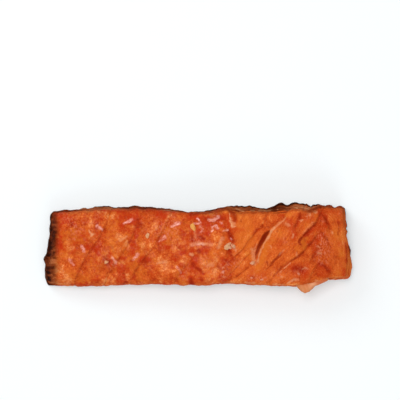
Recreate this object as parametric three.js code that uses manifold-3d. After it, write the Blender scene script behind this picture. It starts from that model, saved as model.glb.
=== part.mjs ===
// A portion of hot smoked salmon: one strip cut across a side of salmon and smoked with its skin on.
// The strip lies on its skin. Its thin belly end points to -X, its thick back end to +X, and the cut faces
// are the two long sides. Millimetres, +Z up, with the origin at the middle of the footprint.
import * as THREE from "three";
import { mergeVertices } from "three/addons/utils/BufferGeometryUtils.js";
import Module from "manifold-3d";

// Driving sizes
const LENGTH = 152; // flesh from end to end, without the skin that stands out at both ends
const WIDTH = 38; // flesh across the strip at mid length
const BELLY_THICKNESS = 12.5;
const BACK_THICKNESS = 23.5;
const CROWN = 1.3; // how much lower the flesh is along its long edges than along its middle
const EDGE_DROP = 2.6; // rounding of the upper edges
const EDGE_RADIUS = 2.4;
const SIDE_BULGE = 0.6; // how far a cut face swells at mid height
const FOOT_HEIGHT = 0.34; // the lowest part of the sides, as a share of the thickness, is rounded under
const SIDE_LEDGES = 0.35; // unevenness of the cut faces
const RAGGED_SKIN = 0.25; // unevenness of the skin's edge, as a share of how far it stands out
const CUT_FOOT = 1.2; // how far it is rounded under along the two cut faces
const BELLY_FOOT = 2.6;
const BACK_FOOT = 5.5;
const SEAM_WIDTH = 1.15; // half the width of a groove between two flakes
const STEPS_ALONG = 100;
const STEPS_ACROSS = 28;
const HALF_LENGTH = LENGTH / 2;
const HALF_WIDTH = WIDTH / 2;

// A smooth function through a few hand-set points, each an argument and its value
function through(points) {
  return (t) => {
    const last = points.length - 2;
    let i = 0;
    while (i < last && t > points[i + 1][0]) i++;
    const [t0, v0] = points[i];
    const [t1, v1] = points[i + 1];
    const [ta, va] = points[Math.max(i - 1, 0)];
    const [tb, vb] = points[Math.min(i + 2, points.length - 1)];
    const span = t1 - t0;
    const s = THREE.MathUtils.clamp((t - t0) / span, 0, 1);
    const slope0 = ((v1 - va) / (t1 - ta)) * span;
    const slope1 = ((vb - v0) / (tb - t0)) * span;
    const s2 = s * s;
    const s3 = s2 * s;
    return (
      (2 * s3 - 3 * s2 + 1) * v0 +
      (s3 - 2 * s2 + s) * slope0 +
      (3 * s2 - 2 * s3) * v1 +
      (s3 - s2) * slope1
    );
  };
}

// Even, repeatable unevenness between -1 and 1, smooth over about one unit
function hash(i, j, seed) {
  const n = Math.sin(i * 127.1 + j * 311.7 + seed * 74.7) * 43758.5453;
  return 2 * (n - Math.floor(n)) - 1;
}
function rough(x, y, seed) {
  const i = Math.floor(x);
  const j = Math.floor(y);
  const s = THREE.MathUtils.smoothstep(x - i, 0, 1);
  const t = THREE.MathUtils.smoothstep(y - j, 0, 1);
  const lower = THREE.MathUtils.lerp(hash(i, j, seed), hash(i + 1, j, seed), s);
  const upper = THREE.MathUtils.lerp(hash(i, j + 1, seed), hash(i + 1, j + 1, seed), s);
  return THREE.MathUtils.lerp(lower, upper, t);
}

// The four edges of the flesh seen from above: near and far are y at a place along the strip,
// and the belly and back ends are x at a place across it
const nearEdge = through([
  [-HALF_LENGTH, -17.4], [-70, -HALF_WIDTH + 0.3], [-52, -HALF_WIDTH - 0.2], [-28, -HALF_WIDTH + 0.6],
  [2, -HALF_WIDTH + 0.1], [15, -HALF_WIDTH + 1.4], [30, -HALF_WIDTH + 0.4], [47, -HALF_WIDTH - 0.1],
  [56, -HALF_WIDTH + 0.8], [62, -HALF_WIDTH + 1.9], [67, -HALF_WIDTH + 3.5], [HALF_LENGTH, -HALF_WIDTH + 4.2],
]);
const farEdge = through([
  [-HALF_LENGTH, 17.0], [-66, HALF_WIDTH - 0.7], [-48, HALF_WIDTH], [-26, HALF_WIDTH + 0.2],
  [-3, HALF_WIDTH - 1.1], [6, HALF_WIDTH - 0.6], [14, HALF_WIDTH + 0.1], [25, HALF_WIDTH - 1.3],
  [46, HALF_WIDTH - 1.0], [57, HALF_WIDTH - 0.6], [64, HALF_WIDTH + 1.2], [73, HALF_WIDTH + 1.0],
  [HALF_LENGTH, HALF_WIDTH + 0.2],
]);
const bellyEnd = through([
  [-19, -75.0], [-15, -75.9], [-8, -75.9], [2, -74.6], [12, -73.9], [19, -73.3],
]);
const backEnd = through([
  [-16, 75.4], [-8, 76.1], [0, 75.8], [8, 75.2], [17, 74.7], [21, 74.2],
]);

// How far the skin stands out past the flesh along each edge
const nearLip = through([[-76, 1.4], [-66, 0.6], [0, 0.5], [50, 0.5], [66, 0.7], [76, 1.2]]);
const farLip = through([
  [-76, 1.4], [-60, 1.5], [-40, 2.0], [-20, 1.3], [-3, 0.4], [6, 0.7], [14, 1.4], [22, 3.3], [28, 2.8],
  [34, 2.0], [43, 4.3], [52, 3.7], [58, 2.8], [65, 0.9], [76, 0.7],
]);
const bellyLip = through([[-19, 1.6], [-13, 2.6], [-7, 3.0], [3, 2.5], [12, 2.3], [19, 2.0]]);
const backLip = through([[-16, 1.6], [-8, 2.6], [0, 1.5], [8, 0.7], [21, 0.6]]);

const thickness = through([
  [-76, BELLY_THICKNESS - 1.5], [-60, BELLY_THICKNESS + 0.8], [-30, 16.6], [0, 20.2],
  [30, BACK_THICKNESS - 0.8], [50, BACK_THICKNESS], [66, BACK_THICKNESS - 1.6], [76, 18.4],
]);

// Seams between flakes, as they cross the top face. A seam sinks by depth along its line, and the flesh
// on the upstream side, to the left of the way it runs, stands up by step.
const SEAMS = [
  { route: [[9.5, -14], [22.0, -1.4], [25.8, 3.8], [32.0, 11.0], [35.2, 16.5]], depth: 0.7, step: 0.2 },
  { route: [[13.2, -17], [21.2, -9.5], [28.2, -1.4]], depth: 0.55, step: 0.15 },
  { route: [[13.8, -18], [18.4, -15.8], [22.8, -12.5], [26.8, -9.2]], depth: 1.2, step: -0.5 },
  { route: [[35.8, 8.4], [38.2, 10.4], [41.4, 13.6], [44.8, 16.0]], depth: 0.8, step: -0.5 },
  { route: [[29.6, -16.5], [34.0, -12.0], [38.2, -7.8], [41.4, -3.8], [44.0, -1.2]], depth: 0.9, step: 0.4 },
  { route: [[48.4, 6.2], [49.8, 11.4], [51.8, 14.6], [53.2, 17.2]], depth: 1.1, step: 0.3 },
  { route: [[36.0, -17.8], [43.0, -10.6], [46.9, -7.6], [51.8, -3.4], [55.8, 0.0], [58.8, 3.2]], depth: 1.2, step: 0.5 },
  { route: [[51.2, 2.2], [53.2, 5.2], [56.0, 8.4], [59.6, 12.2], [62.6, 17.2]], depth: 1.5, step: 0.9 },
  { route: [[62.6, 17.2], [66.0, 11.0], [67.8, 5.0], [68.6, 0.0]], depth: 0.8, step: -0.2 },
  { route: [[57.4, -15.8], [59.6, -11.6], [62.0, -8.4], [65.2, -10.6], [68.0, -14.4]], depth: 1.0, step: 0.3 },
  { route: [[-34.0, -16.0], [-28.0, -6.0], [-20.5, 4.0], [-15.0, 15.0]], depth: 0.6, step: 0.3 },
  { route: [[-62.0, -14.0], [-57.0, -4.0], [-50.0, 6.0], [-46.0, 15.0]], depth: 0.6, step: 0.3 },
];
const SEAM_STEPS = 24;
const seams = SEAMS.map(({ route, depth, step }) => {
  const curve = new THREE.CatmullRomCurve3(route.map(([x, y]) => new THREE.Vector3(x, y, 0)));
  return { points: curve.getPoints(SEAM_STEPS), depth, step };
});

// Height that one seam adds at a place: a groove that fades at both ends, and a step beside it
function seamRelief({ points, depth, step }, x, y) {
  let nearest = Infinity;
  let side = 1;
  let along = 0;
  for (let i = 0; i < SEAM_STEPS; i++) {
    const a = points[i];
    const b = points[i + 1];
    const dx = b.x - a.x;
    const dy = b.y - a.y;
    const t = THREE.MathUtils.clamp(((x - a.x) * dx + (y - a.y) * dy) / (dx * dx + dy * dy), 0, 1);
    const px = x - a.x - t * dx;
    const py = y - a.y - t * dy;
    const distance = Math.hypot(px, py);
    if (distance < nearest) {
      nearest = distance;
      side = Math.sign(dx * py - dy * px) || 1;
      along = (i + t) / SEAM_STEPS;
    }
  }
  const fade = Math.sin(Math.PI * THREE.MathUtils.clamp(0.12 + 0.76 * along, 0, 1));
  const groove = -depth * Math.exp(-((nearest / SEAM_WIDTH) ** 2));
  const raised = side * Math.sign(step) > 0;
  const shoulder = raised ? Math.abs(step) * Math.exp(-nearest / 3.5) : 0;
  return fade * (groove + shoulder);
}

// The glazed belly flesh: soft curds on a layer that ends in a torn edge near mid length
const GLAZE_END = 15.5;
const GLAZE_RISE = 0.7;
function glazeRelief(x, y) {
  const edge = GLAZE_END - 0.1 * y + 1.6 * rough(y / 6, 0.5, 3);
  const cover = THREE.MathUtils.smoothstep(edge - x, -0.4, 1.6);
  const curds = 0.55 * rough(x / 4.2, y / 4.2, 5) + 0.25 * rough(x / 2.1, y / 2.1, 7);
  return cover * (GLAZE_RISE + curds);
}

// Height of the top face, with its distance in from the nearest edge
function topHeight(x, y, inset, across) {
  const rim = EDGE_DROP * Math.exp(-((inset / EDGE_RADIUS) ** 2));
  let z = thickness(x) - CROWN * across * across - rim;
  const inside = THREE.MathUtils.smoothstep(inset, 0, 3);
  z += inside * glazeRelief(x, y);
  z += 0.35 * rough(x / 9, y / 9, 11) + 0.18 * rough(x / 3.2, y / 2.2, 13);
  for (const seam of seams) z += (0.35 + 0.65 * inside) * seamRelief(seam, x, y);
  return z;
}

// One grid column or row, closer together towards both edges
function spread(k, steps, pull) {
  const t = k / steps;
  const eased = 0.5 - 0.5 * Math.cos(Math.PI * t);
  return THREE.MathUtils.lerp(t, eased, pull);
}

// The sides, from the top edge down, at heights that are shares of the thickness. The flesh swells out
// below its top edge, and the skin stands out further below that and turns under at the foot.
const SIDE_HEIGHTS = [0.87, 0.7, 0.52, 0.34, 0.2, 0.09, 0.02];
const lipShare = through([[0, 0.86], [0.15, 0.97], [0.32, 1], [0.5, 0.74], [0.7, 0.4], [0.87, 0.15], [1, 0]]);
const bulgeShare = through([[0, 0], [0.3, 0.1], [0.6, 1], [0.87, 0.5], [1, 0]]);
function footShare(height) {
  const down = Math.max(0, 1 - height / FOOT_HEIGHT);
  return 1 - Math.sqrt(1 - down * down);
}

// The strip before it is split: a grid for the top face, rings down the sides and a flat underside
function stripGeometry() {
  const positions = [];
  const triangles = [];
  const index = (i, j) => i * (STEPS_ACROSS + 1) + j;
  for (let i = 0; i <= STEPS_ALONG; i++) {
    const u = spread(i, STEPS_ALONG, 0.12);
    const nominal = THREE.MathUtils.lerp(-HALF_LENGTH, HALF_LENGTH, u);
    for (let j = 0; j <= STEPS_ACROSS; j++) {
      const v = spread(j, STEPS_ACROSS, 0.45);
      const near = nearEdge(nominal);
      const far = farEdge(nominal);
      const y = THREE.MathUtils.lerp(near, far, v);
      const x = THREE.MathUtils.lerp(bellyEnd(y), backEnd(y), u);
      const inset = Math.min(y - near, far - y, x - bellyEnd(y), backEnd(y) - x);
      positions.push(x, y, topHeight(x, y, inset, 2 * v - 1));
    }
  }
  for (let i = 0; i < STEPS_ALONG; i++) {
    for (let j = 0; j < STEPS_ACROSS; j++) {
      const [a, b, c, d] = [index(i, j), index(i + 1, j), index(i + 1, j + 1), index(i, j + 1)];
      triangles.push(a, b, c, a, c, d);
    }
  }

  // The rim, anticlockwise from the near belly corner
  const rim = [];
  for (let i = 0; i < STEPS_ALONG; i++) rim.push(index(i, 0));
  for (let j = 0; j < STEPS_ACROSS; j++) rim.push(index(STEPS_ALONG, j));
  for (let i = STEPS_ALONG; i > 0; i--) rim.push(index(i, STEPS_ACROSS));
  for (let j = STEPS_ACROSS; j > 0; j--) rim.push(index(0, j));
  const count = rim.length;
  const at = (k) => 3 * rim[(k + count) % count];
  const REACH = 3; // rim points on each side that set the outward direction
  const outward = rim.map((_, k) => {
    const a = at(k - REACH);
    const b = at(k + REACH);
    return new THREE.Vector2(positions[b + 1] - positions[a + 1], positions[a] - positions[b]).normalize();
  });
  const blendRound = (k, sideways, endways) => sideways * outward[k].y ** 2 + endways * outward[k].x ** 2;
  const lips = rim.map((_, k) => {
    const [x, y] = [positions[at(k)], positions[at(k) + 1]];
    const sideways = outward[k].y > 0 ? farLip(x) : nearLip(x);
    const endways = outward[k].x > 0 ? backLip(y) : bellyLip(y);
    const ragged = 1 + RAGGED_SKIN * rough(x / 3.1, y / 3.1, 17);
    return ragged * blendRound(k, sideways, endways);
  });
  const feet = rim.map((_, k) => blendRound(k, CUT_FOOT, outward[k].x > 0 ? BACK_FOOT : BELLY_FOOT));

  let previous = rim;
  for (const height of [...SIDE_HEIGHTS, 0]) {
    const next = rim.map((_, k) => {
      const [x, y, z] = positions.slice(at(k), at(k) + 3);
      const ledges = SIDE_LEDGES * rough(x / 4.5 + y / 4.5, 5 * height, 19);
      const flesh = bulgeShare(height) * (SIDE_BULGE + ledges);
      const out = flesh + lipShare(height) * lips[k] - footShare(height) * feet[k];
      positions.push(x + outward[k].x * out, y + outward[k].y * out, z * height);
      return positions.length / 3 - 1;
    });
    for (let k = 0; k < count; k++) {
      const n = (k + 1) % count;
      triangles.push(previous[k], next[k], next[n], previous[k], next[n], previous[n]);
    }
    previous = next;
  }

  const foot = previous.map((p) => new THREE.Vector2(positions[3 * p], positions[3 * p + 1]));
  for (const [a, b, c] of THREE.ShapeUtils.triangulateShape(foot, [])) {
    triangles.push(previous[a], previous[c], previous[b]);
  }
  const geometry = new THREE.BufferGeometry();
  geometry.setAttribute("position", new THREE.Float32BufferAttribute(positions, 3));
  geometry.setIndex(triangles);
  return geometry;
}

// Solids for joining and cutting
const wasm = await Module();
wasm.setup();
function solid(geometry) {
  const bare = geometry.clone();
  bare.deleteAttribute("normal");
  bare.deleteAttribute("uv");
  const merged = mergeVertices(bare, 1e-4);
  return new wasm.Manifold(
    new wasm.Mesh({
      numProp: 3,
      vertProperties: new Float32Array(merged.attributes.position.array),
      triVerts: new Uint32Array(merged.index.array),
    }),
  );
}

// The open split: a blade-shaped gap between two flakes, bent along its length and narrow at the bottom
const SPLIT_ROUTE = [[27.6, -8.2], [29.0, -4.6], [30.2, -0.6], [31.6, 3.0], [33.6, 6.4], [36.6, 9.2]];
const SPLIT_WIDTH = 2.3;
const SPLIT_DEPTH = 7;
function splitCutter() {
  const middle = new THREE.CatmullRomCurve3(SPLIT_ROUTE.map(([x, y]) => new THREE.Vector3(x, y, 0)));
  const steps = 12;
  const sides = [[], []];
  for (let i = 0; i <= steps; i++) {
    const t = i / steps;
    const p = middle.getPoint(t);
    const tangent = middle.getTangent(t);
    const half = 0.5 * SPLIT_WIDTH * Math.sin(Math.PI * (0.04 + 0.92 * t)) ** 0.7;
    sides[0].push(new THREE.Vector2(p.x + tangent.y * half, p.y - tangent.x * half));
    sides[1].unshift(new THREE.Vector2(p.x - tangent.y * half, p.y + tangent.x * half));
  }
  const blade = new THREE.Shape([...sides[0], ...sides[1]]);
  const above = 4;
  const geometry = new THREE.ExtrudeGeometry(blade, { depth: SPLIT_DEPTH + above, bevelEnabled: false });
  const bottom = BACK_THICKNESS - SPLIT_DEPTH;
  geometry.translate(0, 0, bottom);
  const position = geometry.attributes.position;
  const narrow = 0.35; // width left at the bottom, as a share of the width on top
  for (let i = 0; i < position.count; i++) {
    const [x, y, z] = [position.getX(i), position.getY(i), position.getZ(i)];
    if (z > bottom + 0.1) continue;
    let closest = middle.getPoint(0);
    for (const p of middle.getPoints(48)) {
      if (Math.hypot(p.x - x, p.y - y) < Math.hypot(closest.x - x, closest.y - y)) closest = p;
    }
    const slant = 1.2; // the gap leans under the flake on its far side
    position.setXY(
      i,
      closest.x + narrow * (x - closest.x) - slant,
      closest.y + narrow * (y - closest.y) + slant,
    );
  }
  return solid(geometry);
}

// The loose flake: a tongue of paler flesh that hangs out of the near side under the top flake
const TONGUE_AT = 55.6; // along the strip
const TONGUE_REACH = 4.7;
const TONGUE_ROOT = 7; // how far it runs back into the strip
const TONGUE_THICKNESS = 5.2;
const TONGUE_BEVEL = 1.3;
const TONGUE_TAPER = 0.4; // how much thinner it is at its tip, as a share of its thickness
const TONGUE_DROOP = 0.22; // radians
const TONGUE_UNDER_TOP = 4;
function tongue() {
  const left = -4.6;
  const right = 9.6;
  const tip = -1.2;
  const outline = new THREE.Shape();
  outline.moveTo(left, TONGUE_ROOT);
  outline.lineTo(left, 0.4);
  outline.bezierCurveTo(left, -2.4, left + 1.4, -TONGUE_REACH, tip, -TONGUE_REACH);
  outline.bezierCurveTo(tip + 2.4, -TONGUE_REACH, tip + 3.2, -2.4, tip + 5.6, -1.5);
  outline.bezierCurveTo(tip + 7, -0.7, right - 1.6, 0.4, right, 2.4);
  outline.lineTo(right, TONGUE_ROOT);
  outline.closePath();
  const geometry = new THREE.ExtrudeGeometry(outline, {
    depth: TONGUE_THICKNESS - 2 * TONGUE_BEVEL,
    bevelThickness: TONGUE_BEVEL,
    bevelSize: TONGUE_BEVEL,
    bevelOffset: -TONGUE_BEVEL,
    bevelSegments: 3,
    curveSegments: 7,
  });
  const position = geometry.attributes.position;
  for (let i = 0; i < position.count; i++) {
    const out = THREE.MathUtils.clamp(-position.getY(i) / TONGUE_REACH, 0, 1);
    const fromMiddle = position.getZ(i) + TONGUE_BEVEL - TONGUE_THICKNESS / 2;
    position.setZ(i, TONGUE_THICKNESS / 2 + fromMiddle * (1 - TONGUE_TAPER * out));
  }
  geometry.rotateX(TONGUE_DROOP);
  const top = topHeight(TONGUE_AT, nearEdge(TONGUE_AT) + EDGE_RADIUS, EDGE_RADIUS, 1);
  geometry.translate(TONGUE_AT, nearEdge(TONGUE_AT), top - TONGUE_UNDER_TOP - TONGUE_THICKNESS);
  return solid(geometry);
}

// Small crumbs of set protein on the top face: place, length and turn in degrees
const CRUMBS = [
  { x: 15.4, y: 0.9, size: 3.2, turn: 35 },
  { x: 27.2, y: -7.6, size: 1.9, turn: 50 },
  { x: -2.6, y: 10.8, size: 2.6, turn: -60 },
  { x: 32.2, y: -16.2, size: 1.6, turn: 0 },
  { x: 27.2, y: -15.5, size: 1.7, turn: 20 },
  { x: -26.0, y: 6.0, size: 2.4, turn: 75 },
  { x: -47.0, y: -7.5, size: 2.0, turn: 15 },
  { x: 51.6, y: -12.6, size: 1.8, turn: -20 },
];
function crumb({ x, y, size, turn }) {
  const geometry = new THREE.IcosahedronGeometry(size / 2, 1);
  geometry.scale(1, 0.72, 0.55);
  geometry.rotateZ(THREE.MathUtils.degToRad(turn));
  const inset = Math.min(y - nearEdge(x), farEdge(x) - y);
  const z = topHeight(x, y, inset, y / HALF_WIDTH);
  geometry.translate(x, y, z + 0.12 * size);
  return solid(geometry);
}

function filletGeometry() {
  let body = solid(stripGeometry()).subtract(splitCutter()).add(tongue());
  for (const place of CRUMBS) body = body.add(crumb(place));
  const { vertProperties, triVerts } = body.getMesh();
  const geometry = new THREE.BufferGeometry();
  geometry.setAttribute("position", new THREE.Float32BufferAttribute(vertProperties, 3));
  geometry.setIndex(Array.from(triVerts));
  geometry.computeBoundingBox();
  const middle = geometry.boundingBox.getCenter(new THREE.Vector3());
  geometry.translate(-middle.x, -middle.y, -geometry.boundingBox.min.z);
  geometry.computeVertexNormals();
  return geometry;
}

const smokedFlesh = new THREE.MeshStandardMaterial({ color: 0xc95928, roughness: 0.38, metalness: 0 });
const fillet = new THREE.Mesh(filletGeometry(), smokedFlesh);
fillet.name = "fillet";

const salmon = new THREE.Group();
salmon.add(fillet);

export default salmon;
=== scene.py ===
"""A strip of hot smoked salmon, glazed flesh in slanting flakes on its browned skin, on a pale floor."""

import bmesh
import bpy
import numpy as np
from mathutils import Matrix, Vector


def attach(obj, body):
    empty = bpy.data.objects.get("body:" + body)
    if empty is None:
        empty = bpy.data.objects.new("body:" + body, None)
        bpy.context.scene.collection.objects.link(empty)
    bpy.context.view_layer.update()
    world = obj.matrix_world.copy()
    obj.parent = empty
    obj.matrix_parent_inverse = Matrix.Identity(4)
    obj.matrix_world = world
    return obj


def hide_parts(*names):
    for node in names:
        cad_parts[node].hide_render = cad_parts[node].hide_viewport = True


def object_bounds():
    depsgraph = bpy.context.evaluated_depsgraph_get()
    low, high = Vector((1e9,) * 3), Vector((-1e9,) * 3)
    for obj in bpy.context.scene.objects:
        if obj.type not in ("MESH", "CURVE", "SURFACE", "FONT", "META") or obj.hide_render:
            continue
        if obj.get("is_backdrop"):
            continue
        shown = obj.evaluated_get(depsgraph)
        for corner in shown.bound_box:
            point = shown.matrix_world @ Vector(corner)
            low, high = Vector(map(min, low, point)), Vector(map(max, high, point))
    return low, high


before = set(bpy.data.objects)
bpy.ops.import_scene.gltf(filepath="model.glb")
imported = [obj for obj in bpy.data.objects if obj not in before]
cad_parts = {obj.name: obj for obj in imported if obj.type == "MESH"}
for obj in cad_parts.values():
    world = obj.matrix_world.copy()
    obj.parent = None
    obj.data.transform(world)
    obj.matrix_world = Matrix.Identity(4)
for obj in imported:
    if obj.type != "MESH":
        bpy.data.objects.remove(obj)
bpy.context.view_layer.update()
NODE = "fillet"
MM = 0.001


# The flesh
# A strip cut across a side of salmon, salted, glazed and smoked hot, so its flakes have set and parted.
# The fish's length lies across the strip: the belly end is thin, at -X, and the back end is thick, at +X.

LENGTH = 152.0  # millimetres of flesh from end to end, without the skin that stands out at both ends
WIDTH = 38.0
BELLY_THICKNESS = 12.5
BACK_THICKNESS = 23.5
CROWN = 1.3  # how much lower the flesh is along its long edges than along its middle
EDGE_DROP = 1.8  # how far the top face's edges are rounded down
EDGE_RADIUS = 3.6  # how far in from the edges that starts
EDGE_CRAGS = 0.3  # unevenness of the edges
SIDE_BULGE = 0.6  # how far a side swells at mid height
SIDE_LEDGES = 0.35  # unevenness of the sides
FOOT_HEIGHT = 0.34  # the lowest part of the sides, as a share of the thickness, is rounded under
CUT_FOOT = 1.2  # how far it is rounded under along the two cut faces
BELLY_FOOT = 2.6
BACK_FOOT = 5.5
SKIN_THICKNESS = 0.6
RAGGED_SKIN = 0.25  # unevenness of the skin's edge, as a share of how far it stands out
HALF_LENGTH = LENGTH / 2
HALF_WIDTH = WIDTH / 2
TINY = 1e-6  # slack where two shares are compared


def through(points):
    """A smooth function through a few points, each an argument and its value."""
    t, v = np.array(points, dtype=float).T
    before = np.maximum(np.arange(len(t)) - 1, 0)
    after = np.minimum(np.arange(len(t)) + 1, len(t) - 1)
    slopes = (v[after] - v[before]) / (t[after] - t[before])

    def value(x):
        x = np.clip(np.asarray(x, dtype=float), t[0], t[-1])
        i = np.clip(np.searchsorted(t, x) - 1, 0, len(t) - 2)
        span = t[i + 1] - t[i]
        s = (x - t[i]) / span
        rise = (3 - 2 * s) * s * s
        start = s * (1 - s) ** 2 * slopes[i] * span
        end = s * s * (s - 1) * slopes[i + 1] * span
        return v[i] + rise * (v[i + 1] - v[i]) + start + end

    return value


def smoothstep(x, low, high):
    """0 below low, 1 above high and smooth between them."""
    s = np.clip((x - low) / (high - low), 0, 1)
    return s * s * (3 - 2 * s)


def rough(x, y, seed):
    """Repeatable unevenness from -1 to 1, smooth over about one unit."""
    i, j = np.floor(x), np.floor(y)
    s, t = smoothstep(x - i, 0, 1), smoothstep(y - j, 0, 1)

    def corner(a, b):
        n = np.sin(a * 127.1 + b * 311.7 + seed * 74.7) * 43758.5453
        return 2 * (n - np.floor(n)) - 1

    lower = corner(i, j) * (1 - s) + corner(i + 1, j) * s
    upper = corner(i, j + 1) * (1 - s) + corner(i + 1, j + 1) * s
    return lower * (1 - t) + upper * t


def mottle(x, y, size, seed):
    """Unevenness of one size in millimetres, with finer unevenness on it."""
    fine = rough(2.3 * x / size + 7, 2.3 * y / size, seed + 1)
    finest = rough(5.1 * x / size, 5.1 * y / size + 3, seed + 2)
    return 0.57 * rough(x / size, y / size, seed) + 0.28 * fine + 0.15 * finest


# the two long edges of the top face, by how far up the picture they lie from the two sides of a plain strip
near_edge = through([(x, y - HALF_WIDTH) for x, y in [
    (-HALF_LENGTH, 1.6), (-70, 0.3), (-52, -0.2), (-28, 0.6), (2, 0.1), (15, 1.4), (30, 0.4), (47, -0.2),
    (56, 0.8), (62, 1.9), (67, 3.5), (HALF_LENGTH, 4.2),
]])
far_edge = through([(x, y + HALF_WIDTH) for x, y in [
    (-HALF_LENGTH, -2.0), (-66, -0.7), (-48, 0), (-26, 0.2), (-3, -1.3), (2, -1.4), (7, -0.4), (14, 0.3),
    (17, -0.5), (21, -1.1), (36, -1.0), (44, -0.8), (51.5, 0.2), (56.5, -0.9), (60, -0.2), (64, 1.3),
    (73, 1.1), (HALF_LENGTH, 0.2),
]])
belly_end = through([(-19, -75.0), (-15, -75.9), (-8, -75.9), (2, -74.6), (12, -73.9), (19, -73.3)])
back_end = through([(-16, 75.4), (-8, 76.1), (0, 75.8), (8, 75.2), (17, 74.7), (21, 74.2)])
# how far the skin stands out past the face on the four sides
near_lip = through([(-76, 1.4), (-66, 0.6), (0, 0.5), (50, 0.5), (66, 0.7), (76, 1.2)])
far_lip = through([
    (-76, 1.4), (-60, 1.5), (-40, 2.0), (-20, 1.3), (-3, 0.4), (6, 0.7), (14, 1.4), (22, 3.3), (28, 2.8),
    (34, 2.0), (43, 4.3), (52, 3.7), (58, 2.8), (65, 0.9), (76, 0.7),
])
belly_lip = through([(-19, 1.6), (-13, 2.6), (-7, 3.0), (3, 2.5), (12, 2.3), (19, 2.0)])
back_lip = through([(-16, 1.8), (-11, 3.2), (-8, 3.0), (-3, 2.2), (0, 1.5), (8, 0.7), (21, 0.6)])
thickness = through([
    (-76, BELLY_THICKNESS - 1.5), (-60, BELLY_THICKNESS + 0.8), (-30, 16.6), (0, 20.2),
    (30, BACK_THICKNESS - 0.8), (50, BACK_THICKNESS), (66, BACK_THICKNESS - 1.6), (76, 18.4),
])
# how much of that, and of the sides' swelling, there is at a height that is a share of the thickness
lip_share = through([(0, 0.86), (0.15, 0.97), (0.32, 1), (0.5, 0.74), (0.7, 0.4), (0.87, 0.15), (1, 0)])
bulge_share = through([(0, 0), (0.3, 0.1), (0.6, 1), (0.87, 0.5), (1, 0)])
# teeth of the skin's torn edge: how much further out it stands along the far side, along the near side and
# round the back end
far_teeth = through([
    (-76, 0), (8, 0), (12, 0.1), (16, 0.5), (21, 0.6), (24, 0.4), (26, 0.6), (28, -0.3), (31, 0.4),
    (33.4, 0.7), (36.4, -0.2), (38.4, -0.1), (40.4, 0.7), (43, 0.4), (46, -0.9), (50, -0.7), (52, -0.9),
    (54, 0.3), (55.6, 1.6), (57, 0.6), (58.4, -0.4), (60, 1.1), (61.4, 0.7), (64, -0.3), (66.4, 0.7),
    (68.4, 0.5), (69.8, -0.8), (71, 0.1), (72.4, 0.9), (74, 1.1), (76, 1.0),
])
near_teeth = through([
    (-76, 1.6), (-72, 0.6), (-66, 0), (6, 0), (11, 0.4), (15, 0.2), (24, -0.2), (30, 0.4), (33, 0.4),
    (36, 0), (45, 0), (50, 0.8), (53, 0.1), (58, 0), (60, 0.6), (62, 0.1), (65, 0.4), (68.5, 1.0), (72, 0.6),
    (76, 0.3),
])
back_teeth = through([
    (-16, 0.8), (-12, 0.3), (-9.4, 0.4), (-6.2, -0.7), (-2, 0.5), (0, 0.2), (4, 0), (5.8, -0.4), (7.2, 0.5),
    (8.2, 0.7), (9.6, -0.2), (11, 0.4), (13, 0.2), (16, 0.2), (19, 0.5),
])

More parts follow.
